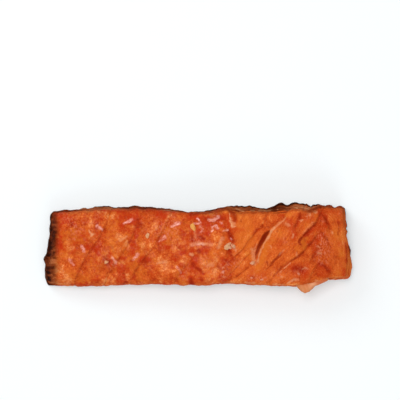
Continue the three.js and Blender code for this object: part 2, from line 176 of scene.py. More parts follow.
# Seams between flakes, as they cross the top face from the near side to the far side. Past the edges of
# the face the same coordinates run on down the cut faces, unrolled. A groove sinks by depth, and the flake
# on the left of the seam's way stands up by step, or the one on its right where step is negative. Dark is
# how dark the groove is painted within its width, as browning and painted shade, and shade is a share of
# the painted light and painted shade beside it. Near and far say that a seam runs on down that cut face.
SEAMS = [
    dict(route=[(9.5, -14), (17.6, -5.2), (22.0, -1.4), (25.8, 3.8), (32.0, 11.0), (35.2, 16.5)],
         depth=0.35, step=0.2, dark=0.75, width=0.32),
    dict(route=[(13.2, -17), (18.9, -10.8), (23.4, -5.8), (28.2, -1.4)],
         depth=0.3, step=0.15, dark=0.65, width=0.32, shade=0.5),
    dict(route=[(13.8, -18), (18.4, -15.8), (22.8, -12.5), (26.8, -9.2)],
         depth=0.45, step=-0.3, dark=0.9, width=0.34, shade=0.3, near=True),
    dict(route=[(36.2, 8.6), (38.2, 10.8), (41.0, 13.4), (44.4, 16.2)],
         depth=0.35, step=-0.35, dark=0.3, width=0.5, far=True),
    dict(route=[(33.4, -11.8), (36.2, -9.4), (38.8, -6.6), (40.6, -4.8), (44.0, -1.2)],
         depth=0.4, step=0.2, dark=0.65, width=0.5, shade=0.6),
    dict(route=[(48.4, 6.2), (49.5, 11.1), (50.9, 13.8), (52.6, 17.2)],
         depth=0.5, step=0.25, dark=0.4, width=0.8, far=True),
    dict(route=[(38.2, -15.0), (42.4, -10.3), (45.4, -8.0), (50.8, -4.6), (53.2, -2.6),
                (56.2, 0.9), (58.3, 2.9), (60.6, 6.0), (62.5, 8.4)],
         depth=0.45, step=0.3, dark=0.65, width=0.5, shade=0.6),
    dict(route=[(51.2, 2.0), (52.6, 4.9), (56.0, 8.3), (59.7, 12.4), (61.2, 14.8), (62.5, 17.6)],
         depth=0.65, step=0.75, dark=0.4, width=0.7, far=True),
    dict(route=[(62.5, 17.6), (64.2, 15.8), (65.6, 13.4), (66.6, 11.2), (66.8, 7.6)],
         depth=0.4, step=-0.2, dark=0.5, width=1.0),
    dict(route=[(62.5, 8.4), (64.2, 6.6), (65.8, 4.6), (66.8, 2.4), (68.2, -1.6)],
         depth=0.25, step=0.2, dark=0.4, width=0.8),
    dict(route=[(56.9, -16.0), (58.3, -13.2), (59.9, -10.9), (61.9, -8.1), (64.0, -8.9), (66.0, -11.5),
                (68.2, -14.6)], depth=0.4, step=0.25, dark=0.4, width=0.7, near=True),
    dict(route=[(56.3, -7.6), (57.2, -6.3), (58.9, -3.8), (60.6, -0.8), (61.6, 2.6)],
         depth=0.25, step=0.1, dark=0.4, width=0.6),
    dict(route=[(52.2, -14.6), (52.0, -16.6), (52.2, -18.6)],
         depth=0.1, step=0.5, dark=0.4, width=0.4),
    dict(route=[(-12, -17), (-6, -9), (1.5, -1)],
         depth=0.3, step=0.15, dark=0.35, width=0.45, near=True),
    dict(route=[(-34, -16), (-28, -6), (-20.5, 4), (-15, 15)],
         depth=0.4, step=0.25, dark=0.5, width=0.5, near=True, far=True),
    dict(route=[(-47, -16), (-41, -6), (-35, 3), (-30, 15)],
         depth=0.35, step=0.2, dark=0.4, width=0.5, near=True, far=True),
    dict(route=[(-62, -14), (-57, -4), (-50, 6), (-46, 15)],
         depth=0.4, step=0.25, dark=0.5, width=0.5, near=True, far=True),
]
NEAR_RUN = [(-1.6, -7), (-1.2, -14), (1.4, -23)]  # where a seam goes down the near cut face, from its end
FAR_RUN = [(2.4, 7), (3.2, 14), (1.6, 23)]
CURVE_STEPS = 10  # straight steps from each point of a route to the next


def curve_points(route):
    """Points along a smooth curve through a route's points."""
    t = np.arange(len(route))
    x, y = np.array(route, dtype=float).T
    fine = np.linspace(0, len(route) - 1, (len(route) - 1) * CURVE_STEPS + 1)
    return np.stack([through(list(zip(t, x)))(fine), through(list(zip(t, y)))(fine)], axis=1)


def beside(points, x, y):
    """How far each place is from a curve, positive on the left of its way, and how far along it."""
    a, b = points[:-1], points[1:]
    way = b - a
    nearest = np.full(len(x), np.inf)
    side = np.ones(len(x))
    along = np.zeros(len(x))
    for i in range(len(a)):
        dx, dy = x - a[i, 0], y - a[i, 1]
        t = np.clip((dx * way[i, 0] + dy * way[i, 1]) / (way[i] @ way[i]), 0, 1)
        px, py = dx - t * way[i, 0], dy - t * way[i, 1]
        distance = np.hypot(px, py)
        closer = distance < nearest
        nearest = np.where(closer, distance, nearest)
        side = np.where(closer, np.sign(way[i, 0] * py - way[i, 1] * px), side)
        along = np.where(closer, (i + t) / len(a), along)
    return nearest * np.where(side == 0, 1, side), along


GLAZE_END = 15.5  # along the strip, where the thick glaze over the belly half stops
GLAZE_RISE = 0.7


def glaze_cover(x, y):
    """1 where the thick glaze lies and 0 beyond its edge, which winds across the strip."""
    edge = GLAZE_END - 0.1 * y + 1.6 * rough(y / 6, 0.5, 3)
    return smoothstep(edge - x, -0.4, 1.6)


def top_height(x, y, inset, across):
    """Height of the top face without its seams."""
    rim = EDGE_DROP * (1 - np.sqrt(1 - np.clip(1 - inset / EDGE_RADIUS, 0, 1) ** 2))
    z = thickness(x) - CROWN * across * across - rim
    curds = 0.55 * rough(x / 4.2, y / 4.2, 5) + 0.25 * rough(x / 2.1, y / 2.1, 7)
    z = z + smoothstep(inset, 0, 3) * glaze_cover(x, y) * (GLAZE_RISE + curds)
    return z + 0.35 * rough(x / 9, y / 9, 11) + 0.18 * rough(x / 3.2, y / 2.2, 13)


def spread(t, pull):
    """Shares of the way from edge to edge, closer together towards both."""
    return t + pull * (0.5 - 0.5 * np.cos(np.pi * t) - t)


def face_place(u, v):
    """Where a place on the top face is, from its shares of the way along and across."""
    u, v = spread(u, 0.12), spread(v, 0.45)
    nominal = LENGTH * (u - 0.5)
    near = near_edge(nominal) + EDGE_CRAGS * mottle(nominal, 0, 4, 67)
    far = far_edge(nominal) + 1.6 * EDGE_CRAGS * mottle(nominal, 0, 3.4, 71)
    y = near + v * (far - near)
    start = belly_end(y) + EDGE_CRAGS * mottle(y, 0, 3, 73)
    end = back_end(y) + EDGE_CRAGS * mottle(y, 0, 4, 79)
    x = start + u * (end - start)
    inset = np.minimum(np.minimum(y - near, far - y), np.minimum(x - start, end - x))
    return x, y, inset, 2 * v - 1


def box_shell(along, across, rings):
    """A grid with rings of faces below its edge. x and y are shares from 0 to 1 and z counts the rings."""
    shell = bmesh.new()
    bmesh.ops.create_grid(shell, x_segments=along, y_segments=across, size=0.5)
    bmesh.ops.translate(shell, verts=shell.verts, vec=(0.5, 0.5, 0))
    edges = [edge for edge in shell.edges if edge.is_boundary]
    for ring in range(rings):
        made = bmesh.ops.extrude_edge_only(shell, edges=edges)["geom"]
        edges = [item for item in made if isinstance(item, bmesh.types.BMEdge)]
        for vert in {vert for edge in edges for vert in edge.verts}:
            vert.co.z = -1 - ring
    return shell, edges


def rim_order(u, v):
    """A number that grows round the edge of the face, anticlockwise from its near belly corner."""
    return np.select([v < TINY, u > 1 - TINY, v > 1 - TINY], [u, 1 + v, 3 - u], 4 - v)


RIM_REACH = 2.5  # how much of the rim on each side of a place sets which way is out there


class Rim:
    """The edge of the top face: where it is, which way is out and how far the skin stands out there."""

    def __init__(self, along, across):
        steps = [(i / along, 0) for i in range(along)] + [(1, j / across) for j in range(across)]
        steps += [(1 - i / along, 1) for i in range(along)] + [(0, 1 - j / across) for j in range(across)]
        u, v = np.array(steps, dtype=float).T
        self.order = rim_order(u, v)
        self.order[0] = 0
        x, y, inset, across_share = face_place(u, v)
        self.x, self.y = x, y
        self.z = top_height(x, y, inset, across_share)
        length = np.hypot(x - np.roll(x, 1), y - np.roll(y, 1))
        self.round = np.cumsum(length)
        shift = max(1, int(round(RIM_REACH / length.mean())))
        dx, dy = np.roll(x, -shift) - np.roll(x, shift), np.roll(y, -shift) - np.roll(y, shift)
        size = np.hypot(dx, dy)
        self.nx, self.ny = dy / size, -dx / size
        # how much a place belongs to the near and far cut faces, and to the belly and back ends
        self.near, self.far = np.clip(-self.ny, 0, 1) ** 2, np.clip(self.ny, 0, 1) ** 2
        self.belly, self.back = np.clip(-self.nx, 0, 1) ** 2, np.clip(self.nx, 0, 1) ** 2
        sideways = np.where(self.ny > 0, far_lip(x), near_lip(x))
        endways = np.where(self.nx > 0, back_lip(y), belly_lip(y))
        ragged = 1 + RAGGED_SKIN * rough(x / 3.1, y / 3.1, 17)
        self.lip = ragged * (sideways * self.ny**2 + endways * self.nx**2)
        self.lip += far_teeth(x) * self.far
        self.lip += near_teeth(x) * self.near
        self.lip += back_teeth(y) * self.back
        self.foot = CUT_FOOT * self.ny**2 + np.where(self.nx > 0, BACK_FOOT, BELLY_FOOT) * self.nx**2
        # how far up the sides the skin comes, as a share of the thickness
        back_skin = 0.16 + 0.26 * smoothstep(y, -9, 6)
        self.skin = self.near * 0.05 + self.far * (0.12 + 0.055 * self.lip) + self.belly * 0.6
        self.skin += self.back * back_skin
        self.skin *= 1 + 0.24 * mottle(x + 1.7 * y, 0 * x, 5, 61) + 0.12 * rough((x - y) / 1.4, 0 * x, 63)

    def find(self, u, v):
        """The numbers of the rim's places that lie at, or above, a grid's places."""
        order = np.round(rim_order(u, v) / TINY) % round(4 / TINY)
        own = np.round(self.order / TINY)
        sort = np.argsort(own)
        return sort[np.clip(np.searchsorted(own[sort], order), 0, len(own) - 1)]

    def out(self, spot, height):
        """How far out from a place on the rim its side is, at a height as a share of the thickness."""
        ledges = SIDE_LEDGES * rough(self.x[spot] / 4.5 + self.y[spot] / 4.5, 5 * height, 19)
        down = np.clip(1 - height / FOOT_HEIGHT, 0, 1)
        foot = (1 - np.sqrt(1 - down * down)) * self.foot[spot]
        return bulge_share(height) * (SIDE_BULGE + ledges) + lip_share(height) * self.lip[spot] - foot


def moved(shell, place):
    """Gives a mesh's vertices new places, in millimetres."""
    for vert, co in zip(shell.verts, place * MM):
        vert.co = co


def finished(shell, name, masks=None):
    """Turns a bmesh into a smooth shaded object with a float attribute for each mask."""
    bmesh.ops.recalc_face_normals(shell, faces=shell.faces)
    mesh = bpy.data.meshes.new(name)
    shell.to_mesh(mesh)
    shell.free()
    for label, values in (masks or {}).items():
        mesh.attributes.new(label, "FLOAT", "POINT").data.foreach_set("value", values.astype(np.float32))
    mesh.shade_smooth()
    piece = bpy.data.objects.new(name, mesh)
    bpy.context.collection.objects.link(piece)
    return piece


ALONG = 440  # faces along the strip, across it and down its sides
ACROSS = 112
RINGS = 34
RING_PULL = 1.15  # draws the rings of a side together under the top face
flesh, last_ring = box_shell(ALONG, ACROSS, RINGS)
bmesh.ops.contextual_create(flesh, geom=last_ring)
flesh.verts.ensure_lookup_table()
u, v, ring = np.array([vert.co for vert in flesh.verts]).T
x, y, inset, across = face_place(u, v)
z = top_height(x, y, inset, across)
rim = Rim(ALONG, ACROSS)
on_side = ring < -0.5
spot = rim.find(u, v)
height = np.where(on_side, 1 - (-ring / RINGS) ** RING_PULL, 1)
drop = np.where(on_side, (1 - height) * z, 0)

# the same places with the cut faces folded out flat round the top face
flat_x = x + np.where(on_side, rim.nx[spot] * drop, 0)
flat_y = y + np.where(on_side, rim.ny[spot] * drop, 0)


def patches(size, seed):
    """Unevenness of one size that runs on from the top face down the sides."""
    return mottle(flat_x, flat_y, size, seed)


relief = np.zeros(len(x))
seam = np.zeros(len(x))
# painted light on the raised side and painted shade on the lower side of each seam
shade = np.zeros(len(x))
waver = 0.22 * rough(flat_x / 4, flat_y / 4, 23) + 0.12 * rough(flat_x / 1.1, flat_y / 1.1, 29)
broken = np.clip(0.7 + 0.8 * patches(2.6, 83), 0.1, 1)
for mark in SEAMS:
    route = list(mark["route"])
    if mark.get("near"):
        route = [(route[0][0] + dx, route[0][1] + dy) for dx, dy in reversed(NEAR_RUN)] + route
    if mark.get("far"):
        route += [(route[-1][0] + dx, route[-1][1] + dy) for dx, dy in FAR_RUN]
    aside, along = beside(curve_points(route), flat_x, flat_y)
    aside = aside + waver
    fade = smoothstep(along, 0, 0.15) * smoothstep(1 - along, 0, 0.15)
    gap = np.abs(aside)
    groove = 0.65 * np.exp(-((gap / 0.5) ** 2)) + 0.35 * np.exp(-gap / 1.6)
    raised = aside * np.sign(mark["step"]) > 0
    edge = np.where(raised, 1 - np.exp(-((gap / 0.5) ** 2)), 0)
    relief += fade * (edge * abs(mark["step"]) * np.exp(-gap / 3.0) - mark["depth"] * groove)
    seam = np.maximum(seam, fade * broken * mark["dark"] * np.exp(-((gap / mark["width"]) ** 2)))
    # beside each seam, painted light on the raised flake and painted shade on the lower one
    painted_seam_light_and_shade = np.where(raised, 0.2 * np.exp(-gap / 1.2), -0.42 * np.exp(-gap / 1.7))
    shade += fade * painted_seam_light_and_shade * mark["dark"] * mark.get("shade", 1)

# the split that stands open, with its pale edge on the back end's side
SPLIT = [(29.2, -6.0), (29.8, -3.0), (30.9, 0.0), (32.4, 3.2), (34.2, 6.2), (36.8, 9.0)]
SPLIT_WIDTH = 2.3
SPLIT_DEPTH = 2.6
SPLIT_LIP = 0.35  # how far the flake stands up along the back end's side
split_width = through([(0, 0.15), (0.15, 0.5), (0.4, 0.78), (0.6, 1), (0.8, 0.95), (0.93, 0.55), (1, 0.1)])
aside, along = beside(curve_points(SPLIT), flat_x, flat_y)
aside = aside + 0.5 * waver
half = 0.5 * SPLIT_WIDTH * split_width(along)
gap = np.abs(aside) - half
inside = (1 - smoothstep(gap, -0.5, 0.25)) * np.sqrt(split_width(along))
relief -= SPLIT_DEPTH * inside * (0.35 + 0.65 * along)
split = np.where(on_side, 0, inside)
split_end = smoothstep(along, 0.2, 0.6)
lip_gap = -aside - half - 0.6
relief += SPLIT_LIP * np.exp(-((lip_gap / 0.5) ** 2)) * ((along > 0.001) & (along < 0.999))


# Brushed marks have uneven edges, because each place is shifted a little before its distance is taken.
worn_x = flat_x + 0.55 * patches(2.4, 89) + 0.3 * rough(flat_x / 0.8, flat_y / 0.8, 101)
worn_y = flat_y + 0.55 * patches(2.4, 97) + 0.3 * rough(flat_x / 0.8, flat_y / 0.8, 103)
DOT_LENGTH = 0.01  # of a mark whose route is one point


def cover(marks, at_x=worn_x, at_y=worn_y, soft=0.5):
    """How much of each place a set of brushed marks covers.

    A mark has a route, a half width, or one for each end of the route, and an amount.
    """
    total = np.zeros(len(at_x))
    for route, half, amount in marks:
        if len(route) == 1:
            route = [route[0], (route[0][0] + DOT_LENGTH, route[0][1])]
        start, end = half if isinstance(half, tuple) else (half, half)
        aside, along = beside(np.array(route, dtype=float), at_x, at_y)
        reach = np.abs(aside) / (start + along * (end - start))
        total = np.maximum(total, amount * (1 - smoothstep(reach, 1 - soft, 1 + soft)))
    return total


top_fade = np.exp(-drop / 2.5)
hidden = smoothstep(-flat_x, 2, 8)  # the belly half, where most patches are placed by chance
# pale edges of flakes, and bare bits of fat and membrane
PALE_MARKS = [
    ([(44.6, 15.4), (43, 13.8), (41.2, 12.2), (39, 10.4)], (0.4, 0.5), 0.42),
    ([(39, 10.4), (37.4, 8.6), (36.4, 6.4), (34.9, 4.2)], (0.5, 0.55), 0.7),
    ([(34.9, 4.2), (33.4, 1.4), (32.4, -0.4)], (0.4, 0.3), 0.5),
    ([(31.9, -0.8), (31.2, -3.4), (30.2, -7.4)], (0.35, 0.35), 0.6),
    ([(29.8, 2.2), (29, -0.8), (28.5, -4.2)], (0.15, 0.4), 0.4),
    ([(16, 16.6), (16.9, 14), (18, 11.6)], (0.1, 0.8), 0.5),
    ([(15.8, 17.6), (16.3, 15), (16.8, 12.6), (17.3, 10.8)], (0.15, 0.35), 1),
    ([(10.6, 0.4), (11.4, 2.2), (12.4, 4.6)], (1, 0.9), 0.4), ([(5.2, -9.2), (7.2, -8.6)], 1, 0.35),
    ([(27.4, -1), (28.2, -4), (28.8, -8)], (0.8, 0.9), 0.4),
    ([(17.2, 10.7), (18.9, 10.7)], (0.4, 0.3), 0.8), ([(-3.4, 1.4), (-0.4, 2)], (0.9, 1.1), 0.3),
    ([(0.6, 2.3), (3.8, 1.7)], (0.9, 0.6), 0.55), ([(4.6, 1.9), (7.6, 1.2)], (0.6, 0.3), 0.35),
    ([(-1.7, 8.6), (-1.3, 5)], 0.5, 0.3), ([(-3.8, -3.2), (-3, -3.4)], 0.7, 0.6),
    ([(45.6, -17.8), (47.6, -17.2), (49.2, -16.4)], (0.4, 0.75), 0.55),
    ([(49.8, -15.8), (51.2, -16.6)], 0.5, 0.4), ([(53.6, -10.6), (54.6, -10.1), (55.6, -10.5)], 0.5, 0.4),
    ([(51, -12.8), (51.3, -13.8)], 0.5, 0.25), ([(51.5, 13.8), (53.2, 13.9), (52.3, 13)], 0.3, 0.65),
    ([(56.8, 17.3), (56.9, 16.6)], 0.5, 0.55), ([(55.2, 15.9)], 0.35, 0.45),
    ([(58.8, 19.2), (60.2, 18.4)], 0.7, 0.5), ([(44.6, 12.4), (46.2, 11.4)], 0.7, 0.35),
    ([(48.2, 5.5), (48.4, 6.5)], 0.4, 0.5), ([(58, 12.9), (59, 13.2)], 0.3, 0.4),
    ([(53.6, 7.6), (55.6, 9.7), (58.4, 12.4)], (0.5, 0.7), 0.15),
    ([(41.8, -12.5), (42.6, -11.9)], 0.3, 0.45), ([(44, -10.6), (45.7, -9.1), (47, -7.8)], 0.24, 0.65),
    ([(41, -3.8), (43.6, -1.5)], (0.4, 0.5), 0.3), ([(50.2, -2.8), (50.3, -4.2)], 0.35, 0.35),
    ([(36.8, 1.1), (37.4, -0.1)], 0.3, 0.5), ([(42.6, -14.9)], 0.5, 0.35),
    ([(68.4, 8.2), (68.8, 7.4)], 0.4, 0.5), ([(12.8, 8.6), (14.6, 9.2)], (0.3, 0.35), 0.4),
    ([(18.2, 0.2), (19, -0.8)], 0.6, 0.45), ([(13, -10.2)], 0.35, 0.6), ([(13, -12.4)], 0.35, 0.6),
    ([(12.4, -15), (13, -15.1)], 0.35, 0.5), ([(61, -2.8), (62.4, -3.2)], (0.4, 0.6), 0.5),
    ([(61.2, 0.6), (62, -0.2)], 0.35, 0.5),
    ([(60, -17.6), (62.8, -17.4), (65.4, -16.2)], (0.8, 0.6), 0.5),
    ([(68, -15.8), (75, -15.6)], 0.35, 0.35), ([(24, -17.9), (28.6, -18.3)], 0.5, 0.35),
    ([(38.6, -18.8), (44, -19.2)], 0.55, 0.5), ([(64, -16.4), (67, -16)], 0.5, 0.3),
    ([(74.6, -15.2), (77, -15)], 0.5, 0.4), ([(-40, 4), (-36.5, 5.5)], (0.8, 0.4), 0.4),
    ([(-21, -8), (-17, -7.2)], (0.5, 0.8), 0.4), ([(-56, 9), (-54.6, 6.4)], (0.2, 0.7), 0.8),
]
# broad patches that are redder
RED_MARKS = [
    ([(-4, 16.6), (-0.6, 15.6)], 1.6, 0.7), ([(0.4, 14.8), (4.6, 15.2)], 1.3, 0.75),
    ([(2.4, 13), (4.8, 11), (5.2, 8.4)], (2.2, 1.6), 0.7), ([(10.6, 15.4), (14, 14.6)], 1.7, 0.85),
    ([(12.6, 12.6), (14.4, 13.4)], 1.2, 0.5), ([(-3.4, 7.6), (-2.8, 3.6)], (1.4, 1.2), 0.75),
    ([(-1, 5.4), (2.6, 5)], 1.3, 0.7), ([(0, 9), (3.4, 7.6)], 1.7, 0.8),
    ([(5.4, 12.4), (5.8, 10), (5.2, 7)], 1.3, 0.7), ([(10.6, 12.6), (13.4, 11)], 1.3, 0.55),
    ([(-2, -4.4), (-1, -7)], 1.4, 0.6),
    ([(15.4, 16.2), (15.2, 10.4), (16, 7.4), (16.6, 4)], (0.9, 2), 0.75),
    ([(17.4, 10), (19.6, 9.2)], 1.3, 0.5), ([(17.2, 18.2), (17.8, 16), (19, 13.8)], 1.3, 0.6),
    ([(67, 18.4), (73, 18)], 1.5, 0.5), ([(-3.4, 0), (-3.2, -6), (-2.4, -9.4)], (1.2, 1.7), 0.65),
    ([(0.2, -1.6), (3.2, -1.6), (5, -0.8)], 1.6, 0.65),
    ([(-3, -11), (0.4, -11.6), (2.4, -13)], (1.8, 1.2), 0.65), ([(-3.6, -15.6), (-3, -19)], 1.6, 0.75),
    ([(0.8, -15.4), (2.4, -16.4)], 1.2, 0.65), ([(16.2, -0.8), (16.8, -4.6)], (1.2, 1.6), 0.8),
    ([(11.4, -8.4), (13.4, -6.4), (15.8, -6.6)], 1.5, 0.6), ([(10.4, -15.4), (14.2, -16.4)], 1.7, 0.4),
    ([(20.4, 9), (22.6, 9.4)], 1.2, 0.4), ([(28, 7), (28.9, 8.4), (30.4, 9.4)], 0.8, 0.6),
    ([(37.4, 12.6), (40.4, 14.2)], 0.9, 0.3), ([(41.6, 16.2), (44, 16)], 0.7, 0.6),
    ([(46.2, 13.6), (48.6, 11.8)], 1.6, 0.75), ([(47.6, 10.4), (48.8, 5.8)], 1.6, 0.65),
    ([(52.8, 15.2), (55.4, 13.6)], 1.5, 0.4), ([(55.8, -8.4), (56.4, -11.2)], 1.2, 0.45),
    ([(27.4, -11.4), (29.6, -13.8)], 1.5, 0.35), ([(72.6, 2), (73.6, -0.2)], 1.2, 0.4),
    ([(45.6, -13), (49.6, -14.6)], 1.6, 0.3),
    ([(51.8, 17), (51.4, 14.4), (50.4, 12.2), (49.2, 9.4)], (1.3, 0.9), 0.75),
    ([(54.6, 6.6), (56.6, 7.8), (58.2, 9.6)], (1.2, 1.3), 0.85),
    ([(56.2, 0.6), (57.4, 2.6), (58, 4.4)], 1.2, 0.55),
    ([(61.8, 19), (62.4, 15.8), (64.6, 16.2), (65.4, 11.4)], (1.6, 1.3), 0.7),
    ([(60.6, 10), (63.6, 10.4), (62.8, 7.8)], 1.6, 0.4),
    ([(63.4, 6.8), (60.4, 3), (59, -3.4)], (1.4, 1), 0.5),
    ([(48.6, -10.4), (51.6, -10.8), (54, -12)], (2, 2.4), 1), ([(53.8, -13.6), (54.6, -17.4)], 2, 0.6),
    ([(61.6, -8.6), (64, -9.4), (66.4, -11.6)], (1.2, 1.6), 0.75), ([(62.4, -12.4), (65.2, -15)], 2, 0.5),
    ([(27.2, -14.6), (28.8, -16.6)], 1.3, 0.5), ([(25.8, -16.6), (26, -17.6)], 0.9, 0.4),
    ([(31, -14.6), (33.4, -13.4)], 1.2, 0.4), ([(42.2, 3.4), (41, 0.6)], 1, 0.4),
    ([(74.4, -11.8), (75, -15.2)], 1.2, 0.85), ([(75.4, 2), (76.4, -3), (76.2, -7)], 1, 0.9),
    ([(71.4, 13.4), (72.2, 12.6)], 0.8, 0.6), ([(74.4, 19.4), (75.4, 11)], 1.2, 0.6),
]
# small spots and lines that are darker still: dark red flesh, and painted shadow below steps and beside the
# pale wedge
DEEP_AND_SHADOW_MARKS = [
    ([(1, 5.2), (2.8, 4.8)], 0.7, 0.9), ([(-3.2, 5.4), (-2.8, 4)], 0.7, 0.7),
    ([(2.4, 14.6), (4.4, 14.8)], 0.7, 0.4), ([(11.2, 15), (13.8, 14.6)], 0.8, 0.4),
    ([(14.8, 8.8), (16, 7), (16.4, 5.6)], (0.9, 1.4), 0.95), ([(16.9, 5.4), (17.8, 3.2)], 1, 0.9),
    ([(-3.6, 17), (2.6, 17.4), (7.4, 18)], (0.7, 0.3), 0.8), ([(-0.2, -1.4), (0.6, -2.4)], 0.6, 0.8),
    ([(-3, -8.2), (-2, -9.2)], 0.8, 0.7), ([(-0.8, -10.8), (0.8, -11.4), (2.6, -12.8)], (0.7, 0.4), 0.8),
    ([(-3.8, -16.4), (-3, -19.4)], 1, 0.9), ([(1.2, -15.6), (2, -16.2)], 0.7, 0.5),
    ([(15.6, -1.4), (16.8, -3.8)], 0.8, 0.8), ([(13.6, -6.2), (14.8, -7.2)], 0.6, 0.6),
    ([(10.2, -9.6), (11.4, -10.6)], 0.6, 0.5),
    ([(16.6, 18.8), (17.8, 17.8), (18.6, 16), (18.6, 13.6)], (1.3, 0.6), 0.7), ([(22, 13.6)], 0.6, 0.5),
    ([(29, 8.2), (30, 9.2)], 0.5, 0.6), ([(34.8, 15.8), (35.2, 16.6)], 0.4, 0.6),
    ([(33.2, 14.2), (34.4, 15)], 0.5, 0.5), ([(35.4, 11), (36, 10.4)], 0.4, 0.6),
    ([(36.6, 10.6), (38.6, 12.4)], 0.6, 0.35), ([(40.2, 8.3)], 0.45, 0.6),
    ([(51.9, 17), (51.6, 15)], 0.8, 0.6), ([(50.4, 12.6), (49.6, 10.8)], 0.4, 0.5),
    ([(52, 1.6), (51.3, 2.6), (51.7, 4.2), (52.6, 5.2)], 0.55, 1),
    ([(52.6, 5), (54.8, 7.4), (57.4, 9.8)], (0.35, 0.6), 0.6), ([(54.4, 6.2), (56.6, 8.2)], 0.8, 0.5),
    ([(59, 11.2), (60.2, 12.4)], 0.5, 0.5), ([(56.6, 1.2), (57.4, 2.6)], 0.6, 0.7),
    ([(62, 18.4), (62.4, 16.4)], 0.8, 0.4), ([(64.8, 15.4), (65.6, 12.4)], 0.6, 0.6),
    ([(62.2, 8.4), (63.2, 7.6)], 0.6, 0.5), ([(65.4, 5), (66.2, 3.8)], 0.5, 0.4),
    ([(53.4, -2.4), (50.8, -4.6), (48.2, -6.6)], 0.5, 0.5), ([(49.6, -10.8), (52.8, -10.9)], 1.7, 0.8),
    ([(53.2, 4.2), (53.6, 1.2)], 1.3, 0.3),
    ([(61.8, -8.3), (64.4, -9.2), (66.2, -11.4), (67.4, -13)], (0.5, 0.8), 0.7),
    ([(58.8, -3), (58.2, -4.6)], 0.5, 0.5), ([(27.9, -14.6), (28.6, -15.4)], 0.5, 0.6),
    ([(35.2, -7.4), (35.5, -9)], 0.35, 0.7), ([(41.4, -4), (38.8, -6.6), (36.6, -9)], (0.6, 0.4), 0.6),
    ([(38.4, -14.8), (40.2, -12.6), (42.4, -10.6)], 0.35, 0.5), ([(35, -18), (36.8, -17)], 0.7, 0.4),
    ([(69.3, -4.6)], 0.6, 0.5), ([(71.4, 13.2), (72, 12.6)], 0.5, 0.6),
    ([(75.8, 1), (76.3, -3), (76.2, -9), (75.9, -14.8)], (0.45, 0.3), 0.8),
    ([(74.6, 19.4), (75.2, 16)], 0.6, 0.5), ([(71.4, 12), (71.6, 6.6)], 0.35, 0.4),
]
# patches that are brighter and more orange, some of them painted light along the near edge and on raised
# flake edges
BRIGHT_AND_LIT_MARKS = [
    ([(2.6, 17.8), (6.6, 17.6)], 0.9, 0.7), ([(11, 17.2), (13, 18.2), (15.2, 19)], (1.1, 0.7), 1),
    ([(7.2, 8), (8.4, 4.6), (11.4, 5.4), (11.6, 2.4), (9, 1.6)], 1.8, 0.9),
    ([(11, 9.4), (13.8, 8.4)], 1.1, 0.7), ([(10.6, 5), (12.6, 3.4)], 1.2, 0.8),
    ([(6.6, 0.4), (11, 0.6)], 1.3, 0.8), ([(2.4, -6.4), (2.6, -9.6)], (2.2, 2), 1),
    ([(8.6, -3.6), (9.2, -7.6), (5.4, -10.8)], (1.5, 2.2), 0.8),
    ([(8.2, -10.6), (8, -13.6)], (1.8, 1.8), 1), ([(4.4, -12.6), (6.4, -15.2)], 1.8, 0.7),
    ([(3.4, -16.8), (8.2, -15.8)], 1.2, 0.7), ([(12.2, -3.2), (13, -4)], 0.8, 0.9),
    ([(15.4, -13.2), (19.6, -11), (23, -7.6)], 1.1, 0.6), ([(4.6, -8.6), (9.8, -8.9)], 1.8, 1),
    ([(29.2, 4.6), (30.2, 2.2)], 0.9, 0.6), ([(21, -5), (23.4, -3.2)], 1, 0.7),
    ([(17.8, -3.4), (19, -4.2)], 0.9, 0.8), ([(18.6, -10.2), (21.4, -12)], 0.9, 0.5),
    ([(16.4, -18.1), (21, -17), (26, -12.4)], (0.8, 1), 0.35), ([(21, 15.6), (20.2, 12)], 1.2, 0.4),
    ([(24.6, 16.6), (25.4, 13), (23.6, 7.4)], 0.8, 0.4), ([(22.4, 1.4), (25.6, 6.4)], 1, 0.5),
    ([(31.4, 16.4), (30.6, 13)], 0.8, 0.5), ([(33.2, 12.6), (32.4, 14.6)], 1, 0.6),
    ([(26.6, 0.8), (28.2, 3.2)], 0.9, 0.5), ([(36.2, 15.4), (37.4, 13.2)], 0.5, 0.7),
    ([(45, 16.4), (48.6, 18), (52.6, 18.8)], (1.2, 0.9), 0.6),
    ([(51, 5.2), (53, 7.8), (55.6, 10.2), (58.6, 13.4)], (0.8, 1.3), 0.5),
    ([(56.4, 14), (56, 11.8)], 0.9, 0.5), ([(56.9, -0.2), (56.2, -3.2)], (0.7, 1), 0.8),
    ([(46, -18.6), (50.6, -18.8)], 0.8, 1), ([(54.4, -17), (58, -16.2), (60.4, -16.8)], 1.3, 0.6),
    ([(57.4, -9), (57.8, -14)], 0.8, 0.4),
    ([(66.8, 17), (67.2, 13.6), (69.2, 10.6), (70.4, 8.8)], (0.6, 0.8), 0.4),
    ([(73.4, 9), (74, 4.4), (73, -1)], (0.9, 1.1), 0.5), ([(71.4, -6.6), (71.7, -10.4)], 0.35, 0.6),
    ([(38.6, -12.8), (41.4, -14.4), (39.8, -16.8)], 1.6, 0.5), ([(43.2, -12), (43.8, -14.4)], 1.2, 0.3),
    ([(60.6, -15.6), (62.8, -16.6)], 1, 0.6), ([(29.2, -14.6), (29.8, -16.4)], 0.9, 0.4),
]
